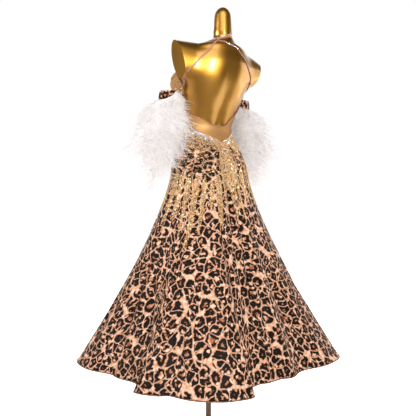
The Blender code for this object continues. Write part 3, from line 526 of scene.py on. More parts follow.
# soft troughs: turn and height at the top, turn and height at the foot, width in degrees, depth
creases = np.array([
    (62, 0.850, 46, 0.400, 2.6, 0.012), (80, 0.720, 67, 0.400, 2.6, 0.010),
    (70, 0.600, 58, 0.440, 2.0, 0.006), (21, 0.890, 15.5, 0.360, 2.6, 0.016),
    (-1, 0.800, 4, 0.420, 2.4, 0.010), (-9, 0.610, -3, 0.450, 1.8, 0.006),
    (34, 0.760, 38, 0.520, 2.6, 0.005), (-24, 0.700, -30, 0.450, 2.6, 0.008),
    (-50, 0.760, -66, 0.440, 3.0, 0.008), (92, 0.740, 90, 0.420, 3.0, 0.008),
    (112, 0.660, 109, 0.430, 2.4, 0.006), (140, 0.780, 146, 0.420, 2.6, 0.010),
    (158, 0.620, 155, 0.440, 2.2, 0.006), (176, 0.820, 181, 0.430, 2.4, 0.010),
    (199, 0.640, 203, 0.430, 2.2, 0.007), (222, 0.780, 219, 0.420, 2.8, 0.010),
    (243, 0.600, 249, 0.430, 2.2, 0.006), (266, 0.790, 262, 0.430, 2.8, 0.009),
    (283, 0.640, 288, 0.430, 2.4, 0.007)])
# upper edge of the print: turn, height
printEdgeRows = np.array([(0, 1.2125), (20, 1.226), (50, 1.252), (82, 1.293), (110, 1.335),
                          (140, 1.362), (180, 1.368)])
# low back and armholes: turn, height on the left, height on the right
backEdgeRows = np.array([
    (0, 1.279, 1.279), (20, 1.284, 1.279), (33, 1.292, 1.286), (42, 1.299, 1.306),
    (56, 1.309, 1.328), (68, 1.317, 1.350), (76, 1.323, 1.378), (80, 1.332, 1.400),
    (84, 1.352, 1.424), (90, 1.394, 1.432), (95, 1.434, 1.437), (104, 1.445, 1.445),
    (112, 1.460, 1.460), (120, 1.480, 1.480), (130, 1.506, 1.506), (140, 1.538, 1.538),
    (150, 1.572, 1.572), (160, 1.590, 1.590), (180, 1.594, 1.594)])
panels = (("panel_back_left", 0, 60), ("panel_side_left", 60, 122), ("panel_front", 122, 238),
          ("panel_side_right", 238, 300), ("panel_back_right", 300, 360))  # name, first and last turn


def signedTurn(turn):
    return (np.asarray(turn, float) + 180) % 360 - 180


def printEdge(turn):
    return smoothCurve(printEdgeRows[:, 0], printEdgeRows[:, 1], np.abs(signedTurn(turn)))


def backEdge(turn):
    turn = signedTurn(turn)
    left, right = (np.interp(np.abs(turn), backEdgeRows[:, 0], backEdgeRows[:, side]) for side in (1, 2))
    return np.where(turn >= 0, left, right)


def hemPlan():  # turn, lean, radius and length along the hem, at fine steps
    turn = np.concatenate([hemFolds[:, 0] + shift for shift in (-360, 0, 360)])
    fine = np.linspace(0, 360, 1441)
    radius, lean = (smoothCurve(turn, np.tile(hemFolds[:, column], 3), fine) for column in (1, 2))
    around = np.radians(fine + lean)
    plan = np.stack([radius * np.sin(around), radius * np.cos(around)], -1)
    along = np.concatenate([[0], np.cumsum(np.linalg.norm(np.diff(plan, axis=0), axis=1))])
    return fine, lean, radius, along


hemFine, hemLean, hemRadius, hemAlong = hemPlan()


def creaseDepth(turn, height):  # each trough is a bell across, and fades in and out along its length
    total = np.zeros(np.broadcast(turn, height).shape)
    for topTurn, top, footTurn, foot, wide, deep in creases:
        share = np.clip((top - height) / (top - foot), 0, 1)
        off = signedTurn(turn - (topTurn + (footTurn - topTurn) * share)) / wide
        window = np.sin(share * math.pi)**skirt["creaseEnds"]
        total += skirt["creaseFactor"] * deep * window * np.exp(-off**2)
    return total


def dressPlace(turn, height, lift=skirt["lift"]):
    # on the body above the seat; below it a straight fall that is drawn into the hem's folds
    turn, height = np.broadcast_arrays(np.asarray(turn, float), np.asarray(height, float))
    high = np.maximum(height, skirt["seat"])
    seat = onSection(turn, high, formRadius(turn, high) + lift)
    share = np.clip((skirt["seat"] - height) / (skirt["seat"] - skirt["hem"]), 0, 1.05)
    flare = share**skirt["flarePower"]
    seatRadius = np.hypot(seat[..., 0], seat[..., 1])
    seatTurn = turn + signedTurn(np.degrees(np.arctan2(seat[..., 0], seat[..., 1])) - turn)
    fall = seatRadius + (skirt["cone"] + lift - seatRadius) * flare
    fall = fall + (np.interp(turn % 360, hemFine, hemRadius) - skirt["cone"]) * share**skirt["foldPower"]
    fall = fall - creaseDepth(turn, height) * (height < skirt["seat"])
    around = seatTurn + (turn - seatTurn) * flare
    around = np.radians(around + np.interp(turn % 360, hemFine, hemLean) * share**skirt["rollPower"])
    return np.stack([fall * np.sin(around), fall * np.cos(around), height], -1)


def insetSeams(points, seam):
    inset = points.copy()
    for edge, beside in ((0, 1), (-1, -2)):
        inset[:, edge] += unit(points[:, beside] - points[:, edge]) * seam / 2
    return inset


def printPlan(turns, heights, shift):
    # the print's flat place: a sector of a ring, as long as the hem and as deep as the fall.
    # It closes in faster than the cloth, so over the hips the print is drawn out into bars
    along = np.interp(turns, hemFine, hemAlong)
    slant, hemReach, least = 1.085, 1.03, 0.17
    reach = hemReach - (heights - skirt["hem"]) * slant
    wide = np.maximum(reach, least)
    angle = (along - along.mean()) / hemReach
    return np.stack([wide * np.sin(angle) + shift, wide * (1 - np.cos(angle)) - reach + shift * 0.7], -1)


# gold beading: dense over the waist and beside the zip, drips below it, and a thin sprinkle

beading = {"pitch": 0.0030, "length": 0.0040, "width": 0.00115, "seed": 5, "foot": 0.785, "top": 1.372,
           "density": 0.80, "jitter": 0.45, "lift": 0.0022, "tilt": 0.22, "askew": 0.35,
           "footTurns": (0, 20, 60, 100, 180), "footDrops": (0.060, 0.055, 0.100, 0.135, 0.160),
           "footFade": 0.022, "thinFrom": 25, "thinTo": 95, "columnTurn": -4, "columnFoot": 1.02}
# drips: turn and height where each starts, turn and height of its tip, half width in degrees
drips = np.array([
    (2, 1.17, -3, 0.905, 5), (-7, 1.15, -8, 0.935, 3.5), (-16, 1.15, -15, 0.895, 4),
    (-30, 1.10, -33, 0.965, 5), (-48, 1.12, -52, 0.940, 4), (-66, 1.10, -70, 0.900, 4),
    (11, 1.16, 10, 0.930, 3), (20, 1.07, 21, 0.868, 4.5), (30, 1.05, 33, 0.915, 3),
    (41, 1.06, 45, 0.845, 3.2), (52, 1.07, 55, 0.792, 3.8), (63, 1.07, 64, 0.838, 3.4),
    (73, 1.08, 75, 0.900, 3.4), (83, 1.09, 86, 0.868, 4), (97, 1.09, 99, 0.930, 4),
    (109, 1.10, 112, 0.850, 4), (122, 1.10, 128, 0.842, 4), (138, 1.09, 141, 0.910, 4),
    (152, 1.10, 153, 0.830, 4), (166, 1.09, 167, 0.900, 4), (180, 1.12, 180, 0.790, 5),
    (194, 1.09, 193, 0.905, 4), (208, 1.10, 207, 0.835, 4), (222, 1.09, 220, 0.915, 4),
    (238, 1.10, 234, 0.845, 4), (252, 1.10, 250, 0.925, 4), (265, 1.09, 263, 0.860, 4),
    (279, 1.09, 277, 0.930, 4)])


def goldCover(turn, height):  # the share of the print that beads hide, from 0 to 1
    b = beading
    turn = signedTurn(turn)
    below = printEdge(turn) - height
    wave = np.sin(np.radians(turn) * 9 + 1.3) * 0.010 + np.sin(np.radians(turn) * 17) * 0.006
    foot = np.interp(np.abs(turn), b["footTurns"], b["footDrops"]) + wave
    waist = np.clip((foot - below) / b["footFade"], 0, 1) * np.where(below > 0.0, 1, 0)
    thin = 0.62 + 0.38 * np.clip(1 - below / 0.05, 0, 1)
    cover = waist * np.where((turn > b["thinFrom"]) & (turn < b["thinTo"]), thin, 0.5 + thin * 0.5)
    column = np.clip(1.4 - np.abs(turn - b["columnTurn"]) / 14, 0, 1)
    column = column * (height > b["columnFoot"]) * (below > 0)
    cover = np.maximum(cover, column * 0.80)
    for topTurn, top, tipTurn, tip, wide in drips:  # a round head, and a point at the tip
        share = (top - height) / (top - tip)
        inside = (share > -0.05) & (share < 1)
        half = wide * (0.75 + 0.5 * (1 - share)) * np.clip(1 - share, 0.02, 1)**0.40
        half = half * np.clip((share + 0.05) / 0.16, 0, 1)
        off = np.abs(signedTurn(turn - (topTurn + (tipTurn - topTurn) * np.clip(share, 0, 1))))
        strand = np.clip((half - off) / 1.4 + 0.5, 0, 1) * inside
        cover = np.maximum(cover, strand * (0.95 - 0.25 * np.clip(share, 0, 1)))
    sprinkle = (0.04 + 0.07 * np.clip((height - 1.02) / 0.1, 0, 1)) * (height > 0.95) * (below > 0)
    return np.maximum(cover, sprinkle)


def buildPanels():
    for index, (name, start, stop) in enumerate(panels):
        first, last = np.interp((start, stop), hemFine, hemAlong)
        count = round(skirt["columns"] * (last - first) / hemAlong[-1])
        turns = np.interp(np.linspace(first, last, count + 1), hemAlong, hemFine)
        upper = np.linspace(0, 1, skirt["fittedRows"])[:-1, None]
        lower = np.linspace(0, 1, skirt["skirtRows"])[:, None]
        edge = printEdge(turns)[None]
        heights = np.concatenate([edge + (skirt["seat"] - edge) * upper,
                                  skirt["seat"] + (skirt["hem"] - skirt["seat"]) * lower + 0 * turns[None]])
        turnGrid = turns[None] + 0 * heights
        doubled = np.clip((skirt["hem"] + skirt["hemTurnUp"] - heights) / skirt["hemStepOver"], 0, 1)
        grid = dressPlace(turnGrid, heights, skirt["lift"] + doubled * skirt["hemStep"])
        grid = insetSeams(grid, skirt["seam"])
        flatPlace = printPlan(turnGrid, heights, skirt["printShift"] * (index + 1))
        mesh = gridMesh(name, grid, flatPlace=flatPlace)
        addFact(mesh, "cover", goldCover(turnGrid, heights))
        piece = addPiece(name.replace("panel", "print"), mesh, printedSatin, name,
                         skirt["thickness"])
        declareCloth(grid)


def buildHemCord():  # the hem is rolled over a stiff cord, which holds the folds out; its dark brown is painted shade for the shadowed underside of the hem
    turns = np.interp(np.linspace(0, hemAlong[-1], skirt["cordSteps"]), hemAlong, hemFine)[:-1]
    out = skirt["lift"] + skirt["hemStep"] + skirt["cordOut"]
    path = dressPlace(turns, 0 * turns + skirt["hem"] + skirt["cordUp"], out)
    mesh = tubeMesh("hemCord", path, skirt["cordRadius"], closedRound=True, sides=8)
    addPiece("hemCord", mesh, hemPaintedShade)


buildPanels()
buildHemCord()
print("skirt made")

# mesh yokes, halter and edges

bodice = {"lift": 0.0012, "halterLift": 0.0016, "thickness": 0.0009, "yokeTurn": 84, "zipWidth": 0.0060,
          "zipRadius": 0.090, "zipTeeth": 42, "gap": 0.0004,
          "armholes": {"armholeLeft": (93, 172), "armholeRight": (188, 267)},
          "bindingRadius": 0.0018, "bindingFoot": {"left": 91, "right": 82}}


def buildMesh(name, mesh, turns, rows, lift, replaced):
    # net stretched over the form, from the low back or armhole edge down to the print
    share = np.linspace(0, 1, rows)[:, None]
    top, foot = backEdge(turns)[None], printEdge(turns)[None] + bodice["gap"]
    grid = onForm(turns[None] + 0 * share, top + (foot - top) * share, lift)
    piece = addPiece(name, gridMesh(mesh, grid), powerMesh, replaced, bodice["thickness"])
    declareCloth(grid)


def buildYokes():
    zipTurn = math.degrees((bodice["zipWidth"] / 2 + bodice["gap"]) / bodice["zipRadius"])
    for side, word in ((1, "left"), (-1, "right")):
        turns = side * np.linspace(zipTurn, bodice["yokeTurn"], 90)[::side]
        buildMesh("yoke_" + word, "yoke", turns, 16, bodice["lift"], "yoke_back_" + word)


def buildHalter():
    turns = np.linspace(bodice["yokeTurn"], 360 - bodice["yokeTurn"], 180)
    buildMesh("halter", "halter", turns, 62, bodice["halterLift"], "halter_front")
    for name, (first, last) in bodice["armholes"].items():
        along = np.linspace(first, last, 160)
        path = evenly(onForm(along, backEdge(along), bodice["lift"] + 0.0010), 120)
        addPiece(name, tubeMesh(name, path, 0.0014), nudeSatin)


def bindingPath(side, word):  # along the low back edge, just off the mesh
    turns = side * np.linspace(2.0, bodice["bindingFoot"][word], 160)
    edge = onForm(turns, backEdge(turns), 0)
    offCloth = side * unit(np.cross(np.gradient(edge, axis=0), outwardOn(formPlace, turns, backEdge(turns))))
    moved, heights = turnsOf(edge + offCloth * (bodice["bindingRadius"] * 0.6))
    return evenly(onForm(moved, heights, bodice["bindingRadius"] + 0.0008), 90)


def buildBindings():
    for side, word in ((1, "left"), (-1, "right")):
        mesh = tubeMesh("binding", bindingPath(side, word), bodice["bindingRadius"])
        addPiece("lowBackBinding_" + word, mesh, nudeSatin, "binding_" + word)


def ribbonGrid(turns, heights, width, lift, crown, columns=7):
    # a band carried along a line on the form, a little crowned across
    path = onForm(turns, heights, 0)
    across = unit(np.cross(np.gradient(path, axis=0), outwardOn(formPlace, turns, heights)))
    share = np.linspace(-1, 1, columns)
    edges = path[:, None] + across[:, None] * (share * width / 2)[None, :, None]
    edgeTurns, edgeHeights = turnsOf(edges)
    return onForm(edgeTurns, edgeHeights, lift + crown * (1 - share**2)[None])


def route(rows, turnColumn, heightColumn, count):
    order, knots = np.linspace(0, len(rows) - 1, count), np.arange(len(rows))
    return smoothCurve(knots, rows[:, turnColumn], order), smoothCurve(knots, rows[:, heightColumn], order)


straps = {"width": 0.0072, "thickness": 0.0012, "lift": 0.0010, "crown": 0.0005, "steps": 90,
          "sliderStep": {"left": 44, "right": 36}, "sliderWide": 0.0046, "sliderTall": 0.0034,
          "sliderCorners": 0.55, "sliderLift": 0.0020, "sliderWire": 0.0007}
strapRows = np.array([  # left turn and height, right turn and height
    (94.0, 1.4310, -86, 1.4286), (87, 1.4380, -76, 1.4365), (79, 1.4490, -67, 1.4460),
    (74, 1.4650, -62, 1.4780), (65.5, 1.5060, -51, 1.5070), (57, 1.5510, -40, 1.5390),
    (45.6, 1.6056, -24.5, 1.5720)])


def squared(wave):  # a circle squared off at its corners
    return np.sign(wave) * np.abs(wave)**straps["sliderCorners"]


def buildStraps():
    s = straps
    for word, columns in (("left", (0, 1)), ("right", (2, 3))):
        turns, heights = route(strapRows, *columns, s["steps"])
        grid = ribbonGrid(turns, heights, s["width"], s["lift"], s["crown"])
        addPiece("strap_" + word + "Satin", gridMesh("strap", grid), nudeSatin, "strap_" + word,
                 s["thickness"])
        # the slider: a small rounded frame of wire that the strap runs through
        at = s["sliderStep"][word]
        along = unit(grid[at + 2, 3] - grid[at - 2, 3])
        out = outwardOn(formPlace, turns[at:at + 1], heights[at:at + 1])[0]
        angle = np.linspace(0, 2 * math.pi, 40, endpoint=False)
        loop = grid[at, 3] + out * s["sliderLift"]
        loop = loop + np.outer(squared(np.cos(angle)) * s["sliderWide"], np.cross(along, out))
        loop = loop + np.outer(squared(np.sin(angle)) * s["sliderTall"], along)
        mesh = tubeMesh("slider", loop, s["sliderWire"], closedRound=True, sides=8)
        addPiece("slider_" + word, mesh, goldBeads)


def buildZip():
    heights = np.linspace(float(backEdge(0)) - 0.0005, float(printEdge(0)) + 0.002, 60)
    grid = ribbonGrid(np.zeros(60), heights, bodice["zipWidth"], 0.0008, 0.0)
    addPiece("zipTape", gridMesh("zipTape", grid), nudeSatin, "zip_centre_back", bodice["thickness"])
    along = np.linspace(0, 1, 400)
    path = onForm(0 * along, heights[0] + (heights[-1] - heights[0]) * along, 0.0022)
    path[:, 0] += 0.0007 * np.sin(along * 2 * math.pi * bodice["zipTeeth"])  # the coil, 1.5 mm a tooth
    addPiece("zipCoil", tubeMesh("zipCoil", path, 0.0004, sides=6), nudeSatin)


buildYokes()
buildHalter()
buildBindings()
buildStraps()
buildZip()
print("bodice made")

# neckband and nape bar with their stones

neck = {"tall": 0.0075, "drop": 0.0026, "lift": 0.0007, "crown": 0.0004, "thickness": 0.0011,
        "stones": 78, "stone": 0.0023, "tilt": 0.10, "seed": 11, "cordRadius": 0.0009,
        "napeRows": ((0.30, 0.98, 22, 0.0013), (0.32, 0.96, 21, -0.0014)), "napeStone": 0.0017,
        "napeTilt": 0.12}
neckEdge = np.array([(-130, 1.605), (-90, 1.609), (-50, 1.622), (-15, 1.630), (35, 1.619), (75, 1.613),
                     (120, 1.609), (180, 1.606)])  # turn, height
napeBar = np.array([(43.0, 1.5953), (21.5, 1.5930), (10, 1.5860), (-9.5, 1.5810), (-24.2, 1.5741)])


def stoneShape():  # a cut stone: flat table, eight crown facets to a girdle, and a low back
    angle = np.arange(8) * math.pi / 4
    ring = np.stack([np.cos(angle), np.sin(angle), 0 * angle], 1)
    table = ring * 0.55 + (0, 0, 0.55)
    corners = np.concatenate([table, ring + (0, 0, 0.12), [(0, 0, 0.55)], [(0, 0, -0.35)]])
    low = np.arange(8)
    after = (low + 1) % 8
    faces = np.concatenate([
        np.stack([low * 0 + 16, low, after], 1), np.stack([low, low + 8, after + 8], 1),
        np.stack([low, after + 8, after], 1), np.stack([low * 0 + 17, after + 8, low + 8], 1)])
    return corners, faces


def framesOn(place, turns, heights):  # across, down and outward at each place
    outward = outwardOn(place, turns, heights)
    down = -unit(upwardOn(place, turns, heights, 0.003))
    across = unit(np.cross(down, outward))
    return np.stack([across, np.cross(outward, across), outward], 1)


def turnedFrames(frames, angles):  # each frame turned about its own outward axis
    cosine, sine = np.cos(angles)[:, None], np.sin(angles)[:, None]
    first = frames[:, 0] * cosine + frames[:, 1] * sine
    second = frames[:, 1] * cosine - frames[:, 0] * sine
    return np.stack([first, second, frames[:, 2]], 1)


def tilted(frames, random, amount):  # each frame leaned a little, so facets catch light apart
    aside = random.normal(0, amount, (len(frames), 1)) * frames[:, 0]
    along = random.normal(0, amount, (len(frames), 1)) * frames[:, 1]
    lean = unit(frames[:, 2] + aside + along)
    across = unit(np.cross(frames[:, 1], lean))
    return np.stack([across, np.cross(lean, across), lean], 1)


def neckHeight(turns):
    knots = np.concatenate([neckEdge[:, 0] + shift for shift in (-360, 0, 360)])
    return smoothCurve(knots, np.tile(neckEdge[:, 1], 3), turns)


def buildNeck():
    n = neck
    random = np.random.default_rng(n["seed"])
    turns = np.linspace(-180, 180, 181)[:-1]
    rows = np.linspace(-n["drop"], -n["drop"] - n["tall"], 7)[:, None]
    lift = n["lift"] + n["crown"] * (1 - ((rows + 0.006) / 0.004)**2)
    band = onForm(turns[None] + 0 * rows, neckHeight(turns)[None] + rows, lift)
    mesh = gridMesh("neckbandSatin", band, closedRound=True)
    addPiece("neckbandSatin", mesh, nudeSatin, "neckband", n["thickness"])
    places = np.linspace(-180, 180, n["stones"], endpoint=False)
    heights = neckHeight(places)
    frames = tilted(framesOn(formPlace, places, heights), random, n["tilt"])
    mesh = manyCopies("neckStones", stoneShape(), onForm(places, heights, 0.0016), frames,
                      np.full((len(places), 3), n["stone"]), random.random(len(places)))
    addPiece("neckStones", mesh, crystal, "neckband_strand")
    cord = onForm(turns, neckHeight(turns), 0.0010)
    addPiece("neckStoneCord", tubeMesh("neckStoneCord", cord, n["cordRadius"], True, 6), goldBeads)
    turns, heights = route(napeBar, 0, 1, 60)
    grid = ribbonGrid(turns, heights, straps["width"], straps["lift"], 0.0006)
    addPiece("napeBarSatin", gridMesh("napeBarSatin", grid), nudeSatin, "nape_bar",
             straps["thickness"])
    # two rows of stones along the bar: from and to in shares of its length, how many, how far aside
    share = np.concatenate([np.linspace(first, last, count) for first, last, count, _ in n["napeRows"]])
    aside = np.concatenate([np.full(count, off) for _, _, count, off in n["napeRows"]])
    turn = np.interp(share, np.linspace(0, 1, 60), turns)
    height = np.interp(share, np.linspace(0, 1, 60), heights) + aside
    frames = tilted(framesOn(formPlace, turn, height), random, n["napeTilt"])
    mesh = manyCopies("napeStones", stoneShape(), onForm(turn, height, 0.0030), frames,
                      np.full((len(turn), 3), n["napeStone"]), random.random(len(turn)))
    addPiece("napeStones", mesh, crystal)


buildNeck()
print("neck made")

# beads in relief, the stones along the print's edge, and the halter's scrolls and lace

edgeStones = {"seed": 21, "sizes": (0.0013, 0.0024), "tilt": 0.2, "lift": 0.0032, "spread": 0.014,
              "clusters": ((45, 18, 190), (-45, 14, 50)), "around": 300}  # cluster: turn, spread, count
# scrolls on the left and middle of the halter, each mirrored on its right: turn and height of the
# middle, size, number of turns, start angle, hand
scrolls = {"seed": 31, "beadsToMetre": 2200, "rows": (
    (180, 1.560, 0.020, 1.4, 90, 1), (166, 1.520, 0.022, 1.6, 20, 1), (180, 1.470, 0.020, 1.5, 270, 1),
    (152, 1.490, 0.026, 1.7, 200, -1), (140, 1.450, 0.024, 1.6, 80, 1), (162, 1.440, 0.026, 1.6, 10, 1),
    (126, 1.430, 0.020, 1.5, 150, 1), (112, 1.410, 0.020, 1.5, 60, -1), (180, 1.410, 0.024, 1.6, 90, 1),
    (146, 1.400, 0.022, 1.6, 0, 1), (100, 1.390, 0.018, 1.4, 40, 1), (126, 1.378, 0.020, 1.5, 100, -1),
    (98, 1.352, 0.016, 1.4, 300, 1), (168, 1.385, 0.014, 1.3, 0, 1), (103, 1.424, 0.015, 1.5, 60, 1),
    (117, 1.452, 0.017, 1.5, 200, -1), (131, 1.482, 0.016, 1.5, 20, 1), (97, 1.400, 0.014, 1.4, 180, -1))}
lace = {"pitch": 0.0085, "size": 0.0046, "varies": 0.0016, "lift": 0.0034, "radius": 0.00062, "steps": 900,
        "sides": ((1, "left", 74, 101), (-1, "right", 56, 101))}  # side, name, first and last turn


def beadShape():  # a short glass tube with four sides
    ring = np.array([(1, 0, 0), (0, 0, 1), (-1, 0, 0), (0, 0, -1)], float)
    corners = np.concatenate([ring + (0, -0.5, 0), ring + (0, 0.5, 0)])
    low = np.arange(4)
    after = (low + 1) % 4
    return corners, np.stack([low, low + 4, after + 4, after], 1)


def buildBeading():
    b = beading
    random = np.random.default_rng(b["seed"])
    turns, heights = [], []
    for height in np.arange(b["foot"], b["top"], b["pitch"]):
        reach = float(np.hypot(*dressPlace(np.array([90.0]), np.array([height]))[0][:2]))
        count = int(2 * math.pi * reach / b["pitch"])
        turns.append((np.arange(count) + random.random()) * 360 / count)
        heights.append(np.full(count, height))
    turns, heights = np.concatenate(turns), np.concatenate(heights)
    turns = turns + random.uniform(-b["jitter"], b["jitter"], len(turns)) * 360 * b["pitch"]
    heights = heights + random.uniform(-b["jitter"], b["jitter"], len(heights)) * b["pitch"]
    kept = (random.random(len(turns)) < goldCover(turns, heights) * b["density"])
    kept = kept & (heights < printEdge(turns) - 0.001)
    turns, heights = turns[kept], heights[kept]
    corners, faces = beadShape()
    behind = np.abs(signedTurn(turns)) <= 90
    for name, chosen in (("beadsBack", behind), ("beadsFront", ~behind)):
        turn, height = turns[chosen], heights[chosen]
        frames = tilted(framesOn(dressPlace, turn, height), random, b["tilt"])
        frames = turnedFrames(frames, random.normal(0, b["askew"], len(turn)))
        centres = dressPlace(turn, height) + frames[:, 2] * b["lift"]
        width = np.full(len(turn), b["width"])
        scales = np.stack([width, random.uniform(0.6, 1.15, len(turn)) * b["length"], width], 1)
        tints = np.clip(random.normal(0.5, 0.26, len(turn)), 0, 1)
        mesh = manyCopies(name, (corners * (1, 1, 0.9), faces), centres, frames, scales, tints)
        addPiece(name, mesh, goldBeads)
        print(name, len(turn), "beads")


def buildTopStones():  # clear stones thrown along the print's upper edge, thickest left of the zip
    e = edgeStones
    random = np.random.default_rng(e["seed"])
    turn = np.concatenate([random.uniform(-180, 180, e["around"])]
                          + [random.normal(*cluster) for cluster in e["clusters"]])
    height = printEdge(turn) - np.abs(random.normal(0, e["spread"], len(turn))) - 0.002
    frames = tilted(framesOn(dressPlace, turn, height), random, e["tilt"])
    scales = random.uniform(*e["sizes"], len(turn))[:, None] * np.ones((1, 3))
    centres = dressPlace(turn, height) + frames[:, 2] * e["lift"]
    mesh = manyCopies("edgeStones", stoneShape(), centres, frames, scales, random.random(len(turn)))
    addPiece("edgeStones", mesh, crystal)


def buildScrolls():  # two lines of seed beads along spirals that shrink towards their middles
    random = np.random.default_rng(scrolls["seed"])
    turns, heights = [], []
    for middle, high, size, wound, start, hand in scrolls["rows"]:
        count = int(size * wound * scrolls["beadsToMetre"])
        share = np.linspace(0, 1, count)
        reach = size * (1 - 0.86 * share)
        for mirrored in (False, True)[:1 if middle == 180 else 2]:
            angle = np.radians(start) + hand * share * wound * 2 * math.pi
            angle = math.pi - angle if mirrored else angle
            at = 360 - middle if mirrored else middle
            for offset in (0.0, 0.0026):
                turns.append(at + np.degrees((reach - offset) * np.cos(angle) / formRadius(at, high)))
                heights.append(high + (reach - offset) * np.sin(angle))
    turn, height = np.concatenate(turns), np.concatenate(heights)
    kept = (height < backEdge(turn) - 0.004) & (height > printEdge(turn) - 0.004)
    turn, height = turn[kept], height[kept]
    frames = tilted(framesOn(formPlace, turn, height), random, 0.2)
    frames = turnedFrames(frames, random.uniform(0, 3, len(turn)))
    scales = np.ones((len(turn), 1)) * np.array([[0.0011, 0.0024, 0.0011]])
    tints = np.clip(random.normal(0.55, 0.25, len(turn)), 0, 1)
    mesh = manyCopies("halterScrolls", beadShape(), onForm(turn, height, 0.0030), frames, scales, tints)
    addPiece("halterScrolls", mesh, goldBeads)
    print("scroll beads", len(turn))


def buildLace():  # a corded scallop, looped like a trochoid, along the steep edge under each strap
    for side, word, first, last in lace["sides"]:
        turns = side * np.linspace(first, last, 300)
        edge = evenly(onForm(turns, backEdge(turns), 0), lace["steps"])
        turn, height = turnsOf(edge)
        length = np.linalg.norm(np.diff(edge, axis=0), axis=1).sum()
        phase = np.linspace(0, 2 * math.pi * round(length / lace["pitch"]), lace["steps"])
        size = lace["size"] + lace["varies"] * np.sin(phase * 0.37 + 1.0)
        along = unit(np.gradient(edge, axis=0))
        off = side * unit(np.cross(along, outwardOn(formPlace, turn, height)))
        loops = edge + off * (size * (1 - np.cos(phase)) * 0.9)[:, None]
        loops = loops + along * (size * np.sin(phase))[:, None]
        turn, height = turnsOf(loops)
        mesh = tubeMesh("laceEdge", onForm(turn, height, lace["lift"]), lace["radius"], sides=5)
        addPiece("laceEdge_" + word, mesh, goldBeads)


buildBeading()
buildTopStones()
buildScrolls()
buildLace()
print("beading made")

# arm bands and feathers

armBand = {"centre": (0.166, -0.020), "height": 1.388, "radius": 0.045, "tall": 0.036, "swell": 0.0050,
           "gathers": 19, "gatherDepth": 0.0017, "room": 0.0006, "ruffle": 0.004, "thickness": 0.0010,
           "printWidth": 0.42, "printPlace": 2.1}
feathers = {"sweep": math.radians(270), "plumes": 70, "barbs": 112, "barbLength": (0.022, 0.048),
            "barbWidth": 0.0015, "drift": 0.043, "lift": 0.012, "shorter": 0.84, "slimmer": 0.82,
            "dip": 0.054, "bareTurn": {"left": 0, "right": 62}, "peakTurn": {"left": 88, "right": 150},
            "peakWidth": 26, "peak": 0.044, "shoulder": 0.085, "slope": 0.7, "droop": 0.34}
trims = (("upper", 0.0092, 0.110, 0.108, 0.225), ("middle", 0.0022, 0.094, 0.086, 0.310),
         ("lower", -0.0031, 0.072, 0.046, 0.378))  # name, height over the middle, swell, tip, hang


def armRing(side, around, radius, height, drift=0.0):
    x = side * (armBand["centre"][0] + drift + radius * np.cos(around))
    y = armBand["centre"][1] + radius * np.sin(around)
    return np.stack(np.broadcast_arrays(x, y, height), -1)


def clearOfDress(points, gap):  # pushes what lies inside the dress out past its cloth
    high = np.clip(points[..., 2], skirt["hem"], 1.60)
    turn, _ = turnsOf(points)
    worn = dressPlace(turn, high, 0.0028 + gap)
    centre = formValue("centre", np.maximum(high, skirt["seat"]))
    wornReach = np.hypot(worn[..., 0], worn[..., 1] - centre)
    reach = np.hypot(points[..., 0], points[..., 1] - centre)
    grow = np.maximum(wornReach / np.maximum(reach, 1e-4), 1)
    x, y = points[..., 0] * grow, centre + (points[..., 1] - centre) * grow
    return np.stack([x, y, points[..., 2]], -1)


def buildArmBand(side, word):
    a = armBand
    columns = 12 * a["gathers"]
    around = -side * np.arange(columns) * 2 * math.pi / columns
    rows = np.linspace(0.5, -0.5, 18)[:, None]
    swell = a["swell"] * (1 - (2 * rows)**2)
    gather = np.cos(a["gathers"] * around)[None] * a["gatherDepth"] * (0.7 + 0.6 * np.abs(2 * rows))
    gather = gather + 0.0008 * np.sin(7 * around + 40 * rows)
    # the upper edge flares into an uneven frill, highest on the outer side
    outer = np.clip(np.cos(around), 0, 1)[None]
    frill = a["ruffle"] * np.clip((rows - 0.32) / 0.18, 0, 1) * (0.5 + 0.5 * outer)
    frill = frill * (1 + 0.25 * np.sin(9 * around + 1.0)[None])
    grid = armRing(side, around[None], a["radius"] + swell + gather + frill * 0.25,
                   a["height"] + rows * a["tall"] + frill)
    grid = clearOfDress(grid, a["room"])
    along = np.arange(columns)[None] / columns * a["printWidth"]
    flatPlace = np.stack([along + 0 * rows, rows * a["tall"] + 0 * along + frill + a["printPlace"]], -1)
    piece = addPiece("armBand_" + word, gridMesh("armBand", grid, True, flatPlace), printedSatin,
                     "arm_band_" + word, a["thickness"])
    declareCloth(grid, closedRound=True)


def strandMesh(name, paths, widths, tints, sideways):
    # flat tapering strands: two edges carried along every path, ending in a point
    count, stations = paths.shape[:2]
    half = sideways[:, None] * widths[..., None] / 2
    points = np.stack([paths - half, paths + half], 2)
    base = (np.arange(count) * stations * 2)[:, None] + np.arange(stations - 1)[None] * 2
    mesh = newMesh(name, points, np.stack([base, base + 1, base + 3, base + 2], -1).reshape(-1, 4))
    addFact(mesh, "tint", np.repeat(tints, 2, axis=1))
    return mesh


def plumePath(side, angle, share, swell, tip, hang, inner, top, lift):
    # out from the band, up a little, over and down, drawn in again at the tip
    spread = 1 - np.clip(1 - share, 0, 1)**2.6
    radius = inner + (swell - inner) * spread + (tip - swell) * np.clip(share - 0.40, 0, 1)**1.3 / 0.50
    height = top + lift * np.sin(np.clip(share * 3.4, 0, math.pi)) - hang * share**1.25
    return armRing(side, angle, radius, height, feathers["drift"] * spread)


